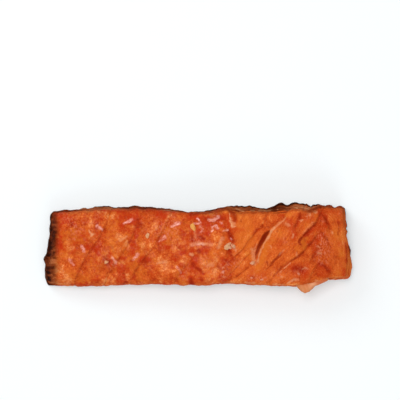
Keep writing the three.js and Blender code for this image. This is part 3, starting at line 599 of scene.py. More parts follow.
# patches that are more golden
AMBER_MARKS = [
    ([(19.4, 17), (22, 8), (21.6, 0)], 2, 0.5), ([(24.6, 14), (26.4, 6), (25.6, 0)], 2.4, 0.55),
    ([(34.2, 1.6), (33.2, -4), (31, -9.4), (29.6, -12.4)], (2, 1), 0.9),
    ([(25.4, -3.2), (27.6, -5.4)], 1.3, 0.7), ([(36.6, 6.4), (38, 4)], 1.6, 0.6),
    ([(41.4, 8.6), (42, 6.4)], 1.3, 0.5), ([(52.8, 3.6), (54, 1.6), (54.2, 0.4)], (1.1, 1.4), 1),
    ([(55.2, 4.6), (53.6, 4.6)], 0.8, 0.8), ([(50.4, -0.6), (51.8, -1.6)], 1.2, 0.6),
    ([(45, 16.2), (47, 17.4)], 1, 0.6), ([(56.4, 11.6), (55, 13.4)], 1.4, 0.5),
    ([(10.4, -1.4), (12.4, -1)], 1.6, 0.6), ([(4.6, -6), (5.8, -7.8)], 1.4, 0.9),
    ([(7, -2.4), (8.2, -5)], 1.4, 0.7), ([(10.4, 4.4), (11.2, 1.6)], 1.2, 0.6),
    ([(12, 17.6), (14.4, 18.4)], 1, 0.5), ([(4.2, -12), (4.8, -14.4)], 1, 0.6),
    ([(59, 19.6), (60.6, 18.4), (60.4, 16.4)], 1, 0.7),
    ([(70, 9), (70.6, 5.6), (72.8, 4.6), (73.4, 7)], 1.2, 0.6), ([(73, -0.6), (73.2, -3.6)], 1.2, 0.8),
    ([(77.6, -5.6), (78.2, -9), (77.6, -13.6)], 1.4, 1), ([(71.6, -12.6), (72.6, -13)], 1.2, 0.5),
    ([(46.4, -12), (45.6, -14)], 0.8, 0.5), ([(8.2, -8.6), (9.8, -9.4)], 1.1, 0.7),
]
# fine pinkish specks of set protein, partly painted glints where the flakes catch the light
SPECK_AND_GLINT_MARKS = [
    ([(63.6, 4.4), (63.6, -5)], 3.3, 1), ([(12.8, -9), (12.6, -15.4)], 1.8, 0.9),
    ([(16, -8.8), (18.6, -8), (21.2, -8.4)], 2, 0.8), ([(17.6, 1), (19.4, -1.2)], 1.2, 0.8),
    ([(44.6, 12.4), (46.6, 11.4), (47.2, 8.4)], 1.4, 0.45), ([(43.6, 4.6), (46, 2.8)], 1.6, 0.5),
    ([(33, -16.4), (27, -15.4)], 1.8, 0.9), ([(37.4, -13.6), (38.6, -12)], 1.3, 0.5),
    ([(48, -12.6), (52.4, -12.4), (55, -10.4)], 1.6, 0.35), ([(-2.6, 3.4), (2, 2.4), (5, 1.8)], 1.8, 0.8),
    ([(8, 17.2), (10.4, 16.8)], 0.9, 0.9), ([(1.2, 10.6), (1.8, 8.2)], 1.2, 0.9),
    ([(55, 15.8), (57.4, 17)], 1.2, 0.8), ([(62.6, 14.8), (63.4, 13.2)], 1, 0.6),
    ([(72.6, 17), (73.6, 18.6)], 0.9, 0.5), ([(3, -6), (7, -12)], 3.2, 0.5),
    ([(40, -14), (44, -14)], 2.4, 0.5),
]
# wet glaze that stands clear and catches the light, its glints also painted into the colour as painted
# highlights
WET_GLINT_MARKS = [
    ([(5, 14.2), (6.8, 14), (8.4, 14.6), (10.2, 15.7)], (0.6, 0.8), 1),
    ([(7.4, 13.4), (8.8, 14)], 0.6, 1),
    ([(-1.8, 12.6), (0.2, 12.3), (0.9, 12.8), (0.4, 13.7), (-0.7, 14.7)], 0.4, 1),
    ([(7.2, 8.4), (7.3, 10.5), (8.6, 10.9), (9.8, 9.8)], (0.4, 0.6), 0.9),
    ([(0.8, 11), (2.2, 10), (1.2, 7.4)], 0.4, 0.5), ([(10.4, 13.1), (12.2, 12.2)], 0.4, 0.5),
    ([(12.6, 8.6), (14.8, 9.2)], 0.35, 0.6), ([(-2.8, 1.6), (2.4, 1.9)], 0.7, 0.3),
    ([(16.3, 5), (16.7, 4)], 0.35, 0.6), ([(12.7, -12), (12.9, -12.8)], 0.4, 0.5),
    ([(-14, 11), (-10, 12.6)], (0.5, 0.9), 0.9), ([(-20, 3), (-17, 5.6)], (0.4, 0.8), 0.8),
    ([(-33, -6), (-31, -3.6)], 0.7, 0.8), ([(-38, 12.6), (-34, 14)], (0.5, 0.8), 0.9),
    ([(-52, 11), (-49, 9)], (0.7, 0.5), 0.9), ([(-60, 1), (-58, -2)], 0.6, 0.8),
    ([(-44, -4.6), (-42, -8)], (0.4, 0.7), 0.7), ([(-11, -10), (-9, -13)], 0.5, 0.6),
    ([(-66, -6), (-64, -9)], 0.6, 0.6),
]


def by_chance(size, seed, low, high):
    """Patches of one size where no marks are brushed: on the belly half and down the cut faces."""
    where = np.maximum(hidden, 0.8 * smoothstep(drop, 0.5, 4))
    return where * smoothstep(mottle(worn_x, worn_y, size, seed), low, high)


pale = cover(PALE_MARKS, soft=0.7) * top_fade
red = np.maximum(cover(RED_MARKS, soft=1.0) * top_fade, 0.75 * by_chance(6.5, 211, -0.05, 0.45))
hidden_deep = 0.8 * by_chance(3.4, 223, 0.2, 0.6) * (0.3 + red)
deep = np.maximum(cover(DEEP_AND_SHADOW_MARKS, soft=0.9) * top_fade, hidden_deep)
bright_and_lit = np.maximum(cover(BRIGHT_AND_LIT_MARKS, soft=1.0) * top_fade, by_chance(5.5, 227, 0.05, 0.5))
amber = np.maximum(cover(AMBER_MARKS, soft=0.95) * top_fade, 0.7 * by_chance(7.5, 229, 0.0, 0.45))
specks = np.maximum(cover(SPECK_AND_GLINT_MARKS, soft=0.9) * top_fade, 0.7 * by_chance(7.0, 233, 0.1, 0.5))
wet = cover(WET_GLINT_MARKS, soft=0.4) * ~on_side

inner = smoothstep(inset, 0, 3)
grain = 0.1 * patches(2.4, 31) + 0.05 * rough(flat_x / 0.9, flat_y / 0.9, 37)
glaze = glaze_cover(x, y) * np.exp(-drop / 3)
grain = (grain + glaze * 0.25 * patches(2.9, 41)) * (1 - 0.7 * wet) + 0.15 * wet
top_z = z + np.where(on_side, 0.35 * relief, (0.35 + 0.65 * inner) * relief) + grain

# a side stays inside the skin where the skin covers it, and is craggy above that
above_skin = smoothstep(height, rim.skin[spot], rim.skin[spot] + 0.12)
crags = 0.6 * relief + 0.3 * patches(2.8, 43)
tucked = 0.5 * np.clip(rim.ny[spot], 0, 1) * np.exp(-((height - rim.skin[spot]) / 0.08) ** 2)
set_back = 0.5 * SKIN_THICKNESS + tucked
side_out = rim.out(spot, height) + crags * above_skin * smoothstep(1 - height, 0, 0.12)
side_out = np.where(on_side, side_out - set_back * smoothstep(1 - height, 0, 0.4), 0)
floor_z = 0.5 * SKIN_THICKNESS
place = np.stack([
    x + rim.nx[spot] * side_out,
    y + rim.ny[spot] * side_out,
    np.where(on_side, floor_z + (top_z - floor_z) * height, top_z),
], axis=1)
moved(flesh, place)
top_places = place[~on_side]

far_side = np.where(on_side, rim.far[spot], 0)
back_side = np.where(on_side, rim.back[spot], 0)
belly = smoothstep(-x + 0.9 * patches(4, 107), 70.0, 74.6)
low = smoothstep(1 - height + 0.1 * patches(7, 193), 0.68, 0.88) * on_side
bare = through([  # how far down the far side the flesh stays bare of brown
    (30, 0), (34, 0.4), (37, 1.2), (41, 1.3), (45, 0.8), (48, 0.6), (51, 1.4), (55, 1.0), (58, 0),
])
band = far_side * smoothstep(drop - bare(x) + 1.1 * patches(2.6, 197), 0.0, 1.3)
corner = 0.8 * back_side * smoothstep(place[:, 1] + 5 * patches(5, 257), 8, 18)
corner *= smoothstep(drop + 2 * patches(3, 317), 1, 6)
edge_x, edge_y = place[:, 0], place[:, 1]
# where the smoke has browned the edges: place seen from above, half width and amount
BROWN_MARKS = [
    ([(66.2, -16.2), (68, -16.5), (71, -16.3)], 0.6, 1),
    ([(77.3, 0.8), (77.7, -1.4), (78.1, -4)], 0.35, 0.8),
    ([(60.2, 20.6), (61.4, 21.2), (62.4, 20.6)], 0.8, 0.9), ([(66, 21.4), (69.4, 20.4)], 0.6, 0.8),
    ([(72.2, 21.2), (74.8, 19.9)], 0.5, 0.75), ([(55.8, 18.9), (57.8, 18.2)], 0.6, 0.7),
]
# light tan streaks on the browned far face
TAN_MARKS = [
    ([(48.6, 20.9), (50.6, 20.5)], 0.5, 1.3), ([(50.8, 21.5), (52.6, 21.2)], 0.45, 1.1),
    ([(52, 20.7), (54.6, 20.4)], 0.4, 1), ([(54.6, 19.9), (56.4, 19.6)], 0.4, 0.8),
    ([(56, 20.3), (57.4, 20)], 0.4, 0.5), ([(39.6, 20.6), (41.4, 21.2)], 0.4, 1),
    ([(40.5, 19.7)], 0.4, 0.7), ([(45.4, 20.6)], 0.5, 0.9),
    ([(19.8, 19.8), (21.2, 19.2), (23.2, 18.6)], (0.5, 0.4), 0.65),
    ([(27, 18.9), (28.4, 18.7)], 0.4, 0.4), ([(31, 19), (33.4, 18.8), (36.6, 19.1)], 0.4, 0.5),
]
upper = 1 - smoothstep(drop + 1.5 * patches(2, 199), 5, 9)  # ends them part of the way down
upper *= 0.1 + 0.9 * smoothstep(rough(flat_x / 5 + rough(flat_y / 3, 0, 269), drop / 0.8, 271), -0.35, 0.3)
brown_marks = cover(BROWN_MARKS, edge_x, edge_y, 0.7)
brown_marks *= 1 - smoothstep(drop + 2 * patches(2, 277), 2.5 + 6 * back_side, 6 + 8 * back_side)
rim_width = through([  # how far the brown reaches in over the far edge of the top face
    (2, 0.6), (5, 0.8), (8, 1.8), (11, 2.0), (13.4, 0.4), (17, 0.8), (22, 0.6), (33, 0.6), (37, 0.3),
    (52, 0.2), (58, 0.6),
])
far_rim = 0.8 * np.exp(-np.maximum(inset + 0.5 * patches(2.2, 281), 0) / rim_width(x))
far_rim *= smoothstep(across, 0.3, 0.8) * (0.6 + 0.4 * smoothstep(x, -5, 5)) * ~on_side
brown = np.max([low, band, corner, brown_marks, far_rim, belly], axis=0)
lie = flat_y + 0.9 * rough(flat_x / 7, 0, 283) + 0.4 * rough(flat_x / 2.5, flat_y / 4, 293)
layers = 0.4 * far_side * smoothstep(rough(flat_x / 8 + rough(0, lie / 2, 307), lie / 0.8, 239), 0.25, 0.9)
tan_x = edge_x + 0.5 * patches(1.6, 109)
tan_y = edge_y + 0.2 * patches(1.1, 241)
tan = np.maximum(cover(TAN_MARKS, tan_x, tan_y, 0.6) * upper * on_side, layers)
# how light the brown is along the far side; it is darkest along the torn edge
far_tone = through([
    (-76, 0.35), (-40, 0.5), (-6, 0.2), (6, 0.2), (11, 0.35), (17, 0.58), (25, 0.6), (29, 0.45), (36, 0.45),
    (38.5, 0.1), (42, 0.3), (46, 0.5), (52, 0.9), (56, 0.85), (59, 0.4), (61.5, 0.1), (66, 0.4), (72, 0.7),
    (76, 0.5),
])
outermost = far_side * smoothstep(1 - height, 0.4, 0.62)
outermost *= 1 - 0.5 * smoothstep(x, 44, 48) * smoothstep(-x, -60, -56)
layered = mottle(flat_x, 3 * flat_y, 5, 167)
brown_tone = far_tone(edge_x) + 0.35 * layered - 0.42 * outermost - 0.3 * brown_marks
belly_tone = 0.56 + 0.5 * rough(flat_x / 6, flat_y / 1.3, 251) - 0.45 * smoothstep(-edge_x, 74.6, 77.4)
belly_tone -= 0.3 * smoothstep(edge_y, -4, 3)
brown_tone += belly * (belly_tone - brown_tone)
rust = np.max([
    far_side * smoothstep(edge_x, 44, 62), far_side * np.exp(-drop / 3), far_rim, corner,
], axis=0)
cut = smoothstep(drop + 1.6 * patches(5, 263), 0.5, 5) * (1 - far_side) * (1 - belly)
cut *= 1 - 0.7 * back_side
tone_along = through([
    (-76, 0.54), (-20, 0.54), (5, 0.55), (16, 0.53), (24, 0.58), (36, 0.53), (44, 0.51), (50, 0.49),
    (56, 0.44), (64, 0.42), (70, 0.54), (76, 0.54),
])
# the flesh's tone, with the painted light and shade beside the seams, lit patches and painted shadows added
# in
tone = tone_along(x) + 0.16 * patches(6, 59) + shade + 0.36 * bright_and_lit - 0.12 * deep
tone += glaze * 0.3 * patches(3.2, 113)
# painted light along the near edge and round the back end, fading in from the rim
painted_lit_rim = np.maximum(smoothstep(-across, 0.5, 0.95), smoothstep(x, 70, 74))
tone += 0.24 * painted_lit_rim * np.exp(-inset / 0.7 - drop / 1.5)
# fibres that lie along the flakes between the glazed end and the back end, and those that run across the
# back end and curve with it: how far across them each place is
mid_way = through([(-19, -22), (-10, -11.5), (0, -1), (10, 5.5), (19, 10.5)])
mid_x = flat_x - mid_way(np.clip(flat_y, -19, 19))
mid_share = smoothstep(flat_x, 14, 20) * smoothstep(-flat_x, -64, -58) * top_fade
end_way = through([(-17, 72.4), (-6, 72.2), (2, 71.4), (9, 70.0), (14, 67.4), (19, 63.6)])
end_x = flat_x - end_way(np.clip(flat_y, -17, 19))
end_share = smoothstep(end_x, -7, -1) * top_fade
side_share = smoothstep(drop + 1.6 * patches(4, 311), 0.3, 6)
# the cut faces' tone, with the painted light and shade of the seams and the lit patches
side_tone = 0.6 + 0.2 * patches(5, 97) + 0.6 * shade + 0.2 * bright_and_lit
tone = tone + (side_tone - tone) * side_share
flesh_piece = finished(flesh, "flesh", dict(
    seam=seam, split=split, split_end=split_end, pale=pale, tan=tan, wet=wet, red=red, amber=amber,
    specks=specks, tone=tone, brown=brown, brown_tone=brown_tone, rust=rust, glaze=glaze, deep=deep,
    cut=cut, run=rim.round[spot], mid_x=mid_x, mid_share=mid_share, end_x=end_x, end_share=end_share,
))


def colour(red, green, blue):
    """A colour as it looks on a screen, from 0 to 255, as the linear colour that shaders take."""
    parts = [part / 255 for part in (red, green, blue)]
    return tuple(p / 12.92 if p <= 0.04045 else ((p + 0.055) / 1.055) ** 2.4 for p in parts) + (1.0,)


class Amount:
    """A number that varies over a surface. Arithmetic on it adds Math nodes to its material."""

    def __init__(self, finish, socket):
        self.finish, self.socket = finish, socket

    def math(self, operation, *values, clamp=False):
        settings = {"operation": operation, "use_clamp": clamp}
        return self.finish.node("ShaderNodeMath", settings, dict(enumerate(values)))

    def __add__(self, other):
        return self.math("ADD", self, other)

    def __radd__(self, other):
        return self.math("ADD", other, self)

    def __sub__(self, other):
        return self.math("SUBTRACT", self, other)

    def __rsub__(self, other):
        return self.math("SUBTRACT", other, self)

    def __mul__(self, other):
        return self.math("MULTIPLY", self, other)

    def __rmul__(self, other):
        return self.math("MULTIPLY", other, self)

    def __pow__(self, other):
        return self.math("POWER", self, other)

    def kept(self):
        """The same number, held between 0 and 1."""
        return self.math("ADD", self, 0, clamp=True)


class Finish:
    """A material with one Principled shader. Constants go straight onto its sockets."""

    def __init__(self, name, **constants):
        self.material = bpy.data.materials.new(name)
        self.material.use_nodes = True
        self.tree = self.material.node_tree
        self.shader = self.tree.nodes["Principled BSDF"]
        for socket, value in constants.items():
            self.shader.inputs[socket.replace("_", " ")].default_value = value

    def node(self, kind, settings, values, output=0):
        """Adds a node. Its settings come first, then each socket's value or link."""
        node = self.tree.nodes.new(kind)
        for name, setting in settings.items():
            if name == "stops":
                ramp = node.color_ramp
                while len(ramp.elements) < len(setting):
                    ramp.elements.new(1)
                for element, (position, shown) in zip(ramp.elements, setting):
                    element.position, element.color = position, shown
            else:
                setattr(node, name, setting)
        for socket, value in values.items():
            if isinstance(value, Amount):
                self.tree.links.new(value.socket, node.inputs[socket])
            else:
                node.inputs[socket].default_value = value
        return Amount(self, node.outputs[output])

    def mask(self, name):
        """What an attribute of the mesh says, from vertex to vertex."""
        return self.node("ShaderNodeAttribute", {"attribute_name": name}, {}, "Fac")

    def place(self, scale=(1, 1, 1), turn=(0, 0, 0)):
        """The place on the object in millimetres, stretched by a scale."""
        at = self.node("ShaderNodeTexCoord", {}, {}, "Object")
        size = tuple(part / MM for part in scale)
        return self.node("ShaderNodeMapping", {}, {"Vector": at, "Scale": size, "Rotation": turn})

    def noise(self, at, scale, detail=2.0, roughness=0.5, warp=0.0):
        values = {"Vector": at, "Scale": scale, "Detail": detail, "Roughness": roughness}
        return self.node("ShaderNodeTexNoise", {}, values | {"Distortion": warp})

    def mix(self, share, first, second):
        return self.node("ShaderNodeMix", {"data_type": "RGBA"}, {0: share, 6: first, 7: second}, 2)

    def over(self, base, share, *shade):
        """A colour laid over another by a share, which is held between 0 and 1."""
        return self.mix(share.kept(), base, colour(*shade))

    def height(self):
        """The height on the object in millimetres."""
        return self.node("ShaderNodeSeparateXYZ", {}, {"Vector": self.place()}, "Z")

    def threads(self, across, fineness):
        """Fine long streaks that follow a coordinate kept in an attribute."""
        y = self.node("ShaderNodeSeparateXYZ", {}, {"Vector": self.place()}, "Y")
        spot = self.node("ShaderNodeCombineXYZ", {}, {"X": self.mask(across), "Y": y * 0.16})
        return self.noise(spot, fineness, 3, 0.65, 0.3)

    def ramp(self, value, stops):
        """A colour that runs from stop to stop, each a value from 0 to 1 and a colour."""
        shades = [(position, colour(*shade)) for position, *shade in stops]
        return self.node("ShaderNodeValToRGB", {"stops": shades}, {"Fac": value.kept()})

    def step(self, value, low, high):
        """0 below low, 1 above high and smooth between them."""
        settings = {"interpolation_type": "SMOOTHSTEP"}
        return self.node("ShaderNodeMapRange", settings, {"Value": value, "From Min": low, "From Max": high})

    def feed(self, socket, value):
        self.tree.links.new(value.socket, self.shader.inputs[socket])

    def bump(self, height, distance, strength=1.0, under=None):
        values = {"Height": height, "Distance": distance, "Strength": strength}
        if under:
            values["Normal"] = under
        return self.node("ShaderNodeBump", {}, values)


FLAKE_THICKNESS = 6.5
FLAKE_BEND_HEIGHT = 12  # the middle of the bend that the flakes have in a cut face

look = Finish(
    "smoked_flesh",
    Subsurface_Weight=0.12,
    Subsurface_Radius=(1.0, 0.35, 0.15),
    Subsurface_Scale=0.001,
    Specular_IOR_Level=0.0,
    Coat_Roughness=0.14,
    Coat_IOR=1.4,
    IOR=1.36,
)
at = look.place()
across_seams = look.place(scale=(1.0, 0.35, 1.0), turn=(0, 0, 0.35))
blotch = look.noise(at, 0.22, 3, 0.55)
speck = look.noise(at, 1.3, 2, 0.6)
grain = look.noise(at, 2.1, 2, 0.6)
glaze = look.mask("glaze")
threads = look.threads("mid_x", 1.1) * look.mask("mid_share")
threads = threads + look.threads("end_x", 1.3) * look.mask("end_share")
fibre = (look.noise(across_seams, 1.2, 2, 0.6, 0.6) - 0.5) * (1 - glaze * 0.6)
# flakes cut through: they lie like leaning tiles, each with a pale skin of its own along one side
cut = look.mask("cut")
lean = (look.height() - FLAKE_BEND_HEIGHT) ** 2 * 0.02 - look.height() * 0.3
uneven = (look.noise(at, 0.06, 1) - 0.5) * 22 + (blotch - 0.5) * 2
plies = (look.mask("run") + lean + uneven) * (1 / FLAKE_THICKNESS)
tile = plies.math("FRACT", plies)
membrane = look.step(plies.math("PINGPONG", plies, 0.5), 0.1, 0.01) * cut
tone = look.mask("tone") + (blotch - 0.5) * 0.45 + fibre * 0.55 + (speck - 0.5) * 0.6 + (grain - 0.5) * 0.45
tone = tone + (threads - 0.5 * look.mask("mid_share") - 0.5 * look.mask("end_share")) * 0.65
# painted shade just past each flake's skin, growing lighter across the flake
tone = tone + (tile - 0.6) * cut * 0.35
curd = look.noise(at, 0.75, 4, 0.7, 0.6)
tone = tone + (curd - 0.5) * glaze * 1.2
base = look.ramp(tone, [
    (0, 140, 36, 8), (0.25, 176, 60, 18), (0.5, 201, 84, 30),
    (0.7, 215, 101, 40), (0.85, 226, 120, 54), (1, 238, 148, 86),
])
cloud = look.step(look.noise(at, 0.5, 3, 0.55, 0.4) + (speck - 0.5) * 0.3, 0.56, 0.4)
base = look.over(base, look.mask("amber") * 0.75, 216, 112, 36)
red = (look.mask("red") * (0.6 + speck * 0.8) + glaze * cloud * 0.4).kept()
base = look.over(base, red * 0.9, 186, 46, 14)
# dark red flesh, and painted shadow below the steps
base = look.over(base, look.mask("deep") * (0.5 + speck * 0.8), 142, 32, 10)
winding = look.noise(at, 0.4, 4, 0.65, 0.8)
vein = look.step(winding.math("PINGPONG", winding, 0.5), 0.46, 0.495) * look.step(blotch, 0.42, 0.56) * glaze
base = look.over(base, vein * 0.5, 160, 40, 12)
frost = look.step(look.noise(at, 1.5, 2, 0.65), 0.52, 0.72)
base = look.over(base, frost * (0.3 - glaze * 0.14), 232, 138, 88)
dots = look.noise(look.place((1.0, 0.6, 1.0), (0, 0, 0.7)), 1.2, 2, 0.6)
# pinkish specks, partly set protein and partly painted glints
base = look.over(base, look.mask("specks") * look.step(dots, 0.48, 0.62) * 0.65, 222, 124, 90)
base = look.over(base, look.mask("pale") * (0.5 + speck), 228, 158, 112)
base = look.over(base, membrane * (speck * 1.5 - 0.1), 230, 148, 96)
glint = look.step(look.noise(at, 1.0, 2, 0.6, 0.6), 0.36, 0.54)
# painted highlights, pinkish white, on the wet glaze
base = look.over(base, look.mask("wet") * (0.2 + glint * 0.6), 240, 160, 140)
# each seam's groove, darkened by browning and by painted shade
base = look.over(base, look.mask("seam") * 0.85, 136, 38, 10)
# painted shade inside the open split, dark red brown and redder towards its far end
split_shade_colour = look.over(colour(146, 54, 28), look.mask("split_end"), 146, 42, 14)
base = look.mix(look.mask("split"), base, split_shade_colour)
streak = look.noise(look.place(scale=(0.3, 1.0, 1.0)), 1.0, 3, 0.6, 0.8)
# what the smoke has browned: dark, rusty in places and streaked with light tan
under = look.ramp(look.mask("brown_tone") + (streak - 0.5) * 1.1, [
    (0, 40, 12, 4), (0.3, 86, 32, 12), (0.6, 130, 60, 28), (0.9, 176, 98, 56),
])
under = look.over(under, look.mask("rust") * 0.55, 150, 48, 18)
under = look.over(under, look.mask("tan") * (0.5 + speck), 206, 142, 96)
base = look.mix((look.mask("brown") * (0.8 + 0.5 * speck)).kept(), base, under)
look.feed("Base Color", base)
wet = look.mask("wet") * look.step(look.noise(at, 0.9, 2, 0.5, 0.5), 0.3, 0.5)
look.feed("Coat Weight", (wet + glaze * 0.06 + cut * 0.05).kept())
look.feed("Roughness", (0.6 - glaze * 0.1 + (speck - 0.5) * 0.3).kept())
low_bump = look.bump(fibre + tile * cut * 0.8 + threads * 0.9, 0.0003, 0.6)
look.feed("Normal", look.bump(look.noise(at, 2.2, 3, 0.6) * (1 - wet * 0.8), 0.0002, 0.6, low_bump))
flesh_piece.data.materials.append(look.material)
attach(flesh_piece, "root")
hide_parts(NODE)


# The loose flap
# Pale belly membrane that has come away with a little flesh on it and hangs out of the near cut face.
# It grows from under the top flake, thins towards its tip and droops a little.

FLAP_ALONG = 60
FLAP_ACROSS = 44
FLAP_RINGS = 6
FLAP_TIP = -23.1  # across the strip
FLAP_ROOT = -13.6
FLAP_FREE = -18.6  # where it comes out of the strip
FLAP_MIDDLE = 55.0  # along the strip
FLAP_THICKNESS = 2.4
FLAP_TOP = 19.0  # height of its upper face where it comes out
FLAP_DROOP = 0.28  # millimetres down for each millimetre out
flap_left = through([
    (FLAP_TIP, 54.2), (-22.6, 53.1), (-21.2, 51.7), (-19.8, 50.7), (-18.6, 50.3), (FLAP_ROOT, 50.0),
])
flap_right = through([
    (FLAP_TIP, 55.0), (-22.6, 56.6), (-20.9, 58.2), (-19.7, 59.5), (-19.2, 60.9), (-18.4, 62.5),
    (-16.8, 65.6), (FLAP_ROOT, 66.6),
])


def flap_place(u, v, t):
    """A place on the flap: u goes across it, v from its tip to its root and t down through its edge."""
    y = FLAP_TIP + v * (FLAP_ROOT - FLAP_TIP)
    left, right = flap_left(y), flap_right(y)
    x = left + u * (right - left)
    ragged = 0.25 * rough(x / 1.3, y / 1.3, 127)
    inset = np.minimum(np.minimum(x - left, right - x), y - FLAP_TIP)
    plump = 1 - np.exp(-inset / 1.1)
    thick = FLAP_THICKNESS * (0.35 + 0.65 * v)
    ribs = 0.16 * rough((x + 0.3 * y) / 1.2, y / 6, 131) + 0.2 * rough(x / 3, y / 3, 137)
    slope = FLAP_DROOP * (FLAP_FREE - y) + 0.05 * (x - FLAP_MIDDLE)
    top = FLAP_TOP - slope + ribs + 0.5 * thick * (plump - 1)
    out = 0.3 * np.sin(np.pi * t) * thick
    way_x, way_y = np.where(u < 0.5, -1.0, 1.0) * (v > TINY), -1.0 * (v <= TINY)
    return np.stack([
        x + ragged * (inset < 0.2) + out * way_x,
        y + out * way_y,
        top - t * thick,
    ], axis=1), inset


flap, last_ring = box_shell(FLAP_ALONG, FLAP_ACROSS, FLAP_RINGS)
bmesh.ops.contextual_create(flap, geom=last_ring)
u, v, ring = np.array([vert.co for vert in flap.verts]).T
u, v = spread(u, 0.45), spread(v, 0.45)
place, inset = flap_place(u, v, np.maximum(-ring, 0) / FLAP_RINGS)
moved(flap, place)
x, y = place[:, 0], place[:, 1]
inward = y + 0.1 * (x - FLAP_MIDDLE) + 0.6 * mottle(x, y, 2, 313)
flap_piece = finished(flap, "flap", dict(
    streaks=smoothstep(rough((x + 0.4 * y) / 0.9, y / 5, 139), -0.1, 0.7),
    edge=np.exp(-inset / 0.8),
    flesh=smoothstep(inward, -20.2, -18.2),
    # a painted highlight on the flap, as one pale spot
    light=np.exp(-((x - 58.2) ** 2 + (y + 18.9) ** 2) / 4),  # one pale spot
))

look = Finish(
    "belly_membrane",
    Subsurface_Weight=0.25,
    Subsurface_Radius=(1.0, 0.4, 0.2),
    Subsurface_Scale=0.0012,
    Specular_IOR_Level=0.3,
    Coat_Roughness=0.2,
    IOR=1.38,
)
at = look.place()
speck = look.noise(at, 1.1, 3, 0.6)
base = look.over(colour(218, 132, 76), look.mask("flesh") * (0.6 + speck), 212, 102, 44)
# the painted highlight on the flap
base = look.over(base, look.mask("light") * (0.4 + speck), 240, 172, 128)
base = look.over(base, look.mask("streaks") * speck * 0.5, 236, 168, 118)
base = look.over(base, look.mask("edge") * 0.7, 190, 112, 62)
look.feed("Base Color", base)
look.feed("Coat Weight", (speck * 0.4).kept())
look.feed("Roughness", 0.5 - (speck - 0.5) * 0.3)
look.feed("Normal", look.bump(look.noise(look.place(scale=(1.0, 0.3, 1.0)), 1.4, 2, 0.5), 0.0004, 0.5))
flap_piece.data.materials.append(look.material)
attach(flap_piece, "root")
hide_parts(NODE)


# The crumbs
# Lumps of set protein that the heat drove out of the flesh. They dried where they lay, mostly cream
# coloured, and the smoke's glaze has yellowed one of them.

# place, length, turn in degrees, and how yellow it is, below nothing where it is pink
CRUMBS = [
    (14.6, 0.9, 2.9, 35, 0.15), (14.3, -0.5, 2.0, -10, 0.2), (15.9, 1.6, 2.2, 60, 0.0),
    (16.0, 0.1, 1.9, -30, -0.1), (17.9, 1.0, 1.9, -35, -0.1), (18.2, -0.2, 1.4, 20, -0.5),
    (27.6, -7.8, 2.1, 25, -0.1), (-2.7, 10.6, 3.0, -60, 1.0), (32.4, -16.3, 1.5, 0, -0.4),
    (27.4, -15.5, 1.3, 20, -0.5), (-26.0, 6.0, 2.4, 75, 0.2), (-47.0, -7.5, 2.0, 15, 0.2),
    (51.2, -13.3, 1.4, -20, -0.6),
]
# shares of a crumb's length
CRUMB_WIDTH = 0.72
CRUMB_HEIGHT = 0.42
CRUMB_RAISED = 0.16  # how far its middle lies above the flesh
crumbs = bmesh.new()
yellow = []
for number, (at_x, at_y, length, turn, tint) in enumerate(CRUMBS):
    old = len(crumbs.verts)
    bmesh.ops.create_icosphere(crumbs, subdivisions=4, radius=0.5)
    crumbs.verts.ensure_lookup_table()
    own = [crumbs.verts[i] for i in range(old, len(crumbs.verts))]
    cx, cy, cz = np.array([vert.co for vert in own]).T
    lumps = 1 + 0.45 * rough(2.6 * cx + 9 * number, 2.6 * cy + 2.1 * cz, 149)
    lumps += 0.22 * rough(6 * cx + 5 * number, 6 * cy + 5 * cz, 151)
    angle = np.radians(turn)
    lx, ly = length * lumps * cx, CRUMB_WIDTH * length * lumps * cy
    nearest = np.argmin((top_places[:, 0] - at_x) ** 2 + (top_places[:, 1] - at_y) ** 2)
    base_z = top_places[nearest, 2] + CRUMB_RAISED * length
    spots = np.stack([
        at_x + lx * np.cos(angle) - ly * np.sin(angle),
        at_y + lx * np.sin(angle) + ly * np.cos(angle),
        base_z + CRUMB_HEIGHT * length * lumps * cz,
    ], axis=1)
    for vert, co in zip(own, spots * MM):
        vert.co = co
    yellow += [tint] * len(own)
crumbs_piece = finished(crumbs, "crumbs", {"yellow": np.array(yellow)})

look = Finish(
    "set_protein",
    Subsurface_Weight=0.3,
    Subsurface_Radius=(1.0, 0.6, 0.4),
    Subsurface_Scale=0.0008,
    Specular_IOR_Level=0.3,
    Coat_Roughness=0.2,
    IOR=1.38,
)
at = look.place()
patch = look.noise(at, 0.9, 3, 0.6)
tint = (look.mask("yellow") + (patch - 0.5) * 0.8).kept()
base = look.over(colour(222, 164, 124), tint, 236, 166, 80)
base = look.over(base, look.mask("yellow") * -1.4, 214, 116, 86)
base = look.over(base, look.step(patch, 0.46, 0.34) * 0.9, 204, 112, 62)
look.feed("Base Color", base)
look.feed("Coat Weight", (patch * 0.5).kept())
look.feed("Roughness", 0.6 - patch * 0.3)
look.feed("Normal", look.bump(look.noise(at, 2.0, 4, 0.7), 0.0005, 0.8))
crumbs_piece.data.materials.append(look.material)
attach(crumbs_piece, "root")
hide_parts(NODE)


# The skin
# The fish's own skin, left on under the strip: thin, tough and scaled, browned by the smoke.
# It is grown to the flesh, stands out past it along the far side and turns up at both ends.

SKIN_ALONG = 300  # faces along and across it, up its outer wall and down its inner one
SKIN_ACROSS = 80
WALL_RINGS = 10
INNER_RINGS = 4
RIM_ROUND = 0.35  # millimetres that the rounded rim of the skin stands up
skin, last_ring = box_shell(SKIN_ALONG, SKIN_ACROSS, WALL_RINGS + 2 + INNER_RINGS)
bmesh.ops.contextual_create(skin, geom=last_ring)
u, v, ring = np.array([vert.co for vert in skin.verts]).T
ring = -ring
rim = Rim(SKIN_ALONG, SKIN_ACROSS)
spot = rim.find(u, v)
foot_x = rim.x + rim.nx * rim.out(np.arange(len(rim.x)), 0)
foot_y = rim.y + rim.ny * rim.out(np.arange(len(rim.x)), 0)


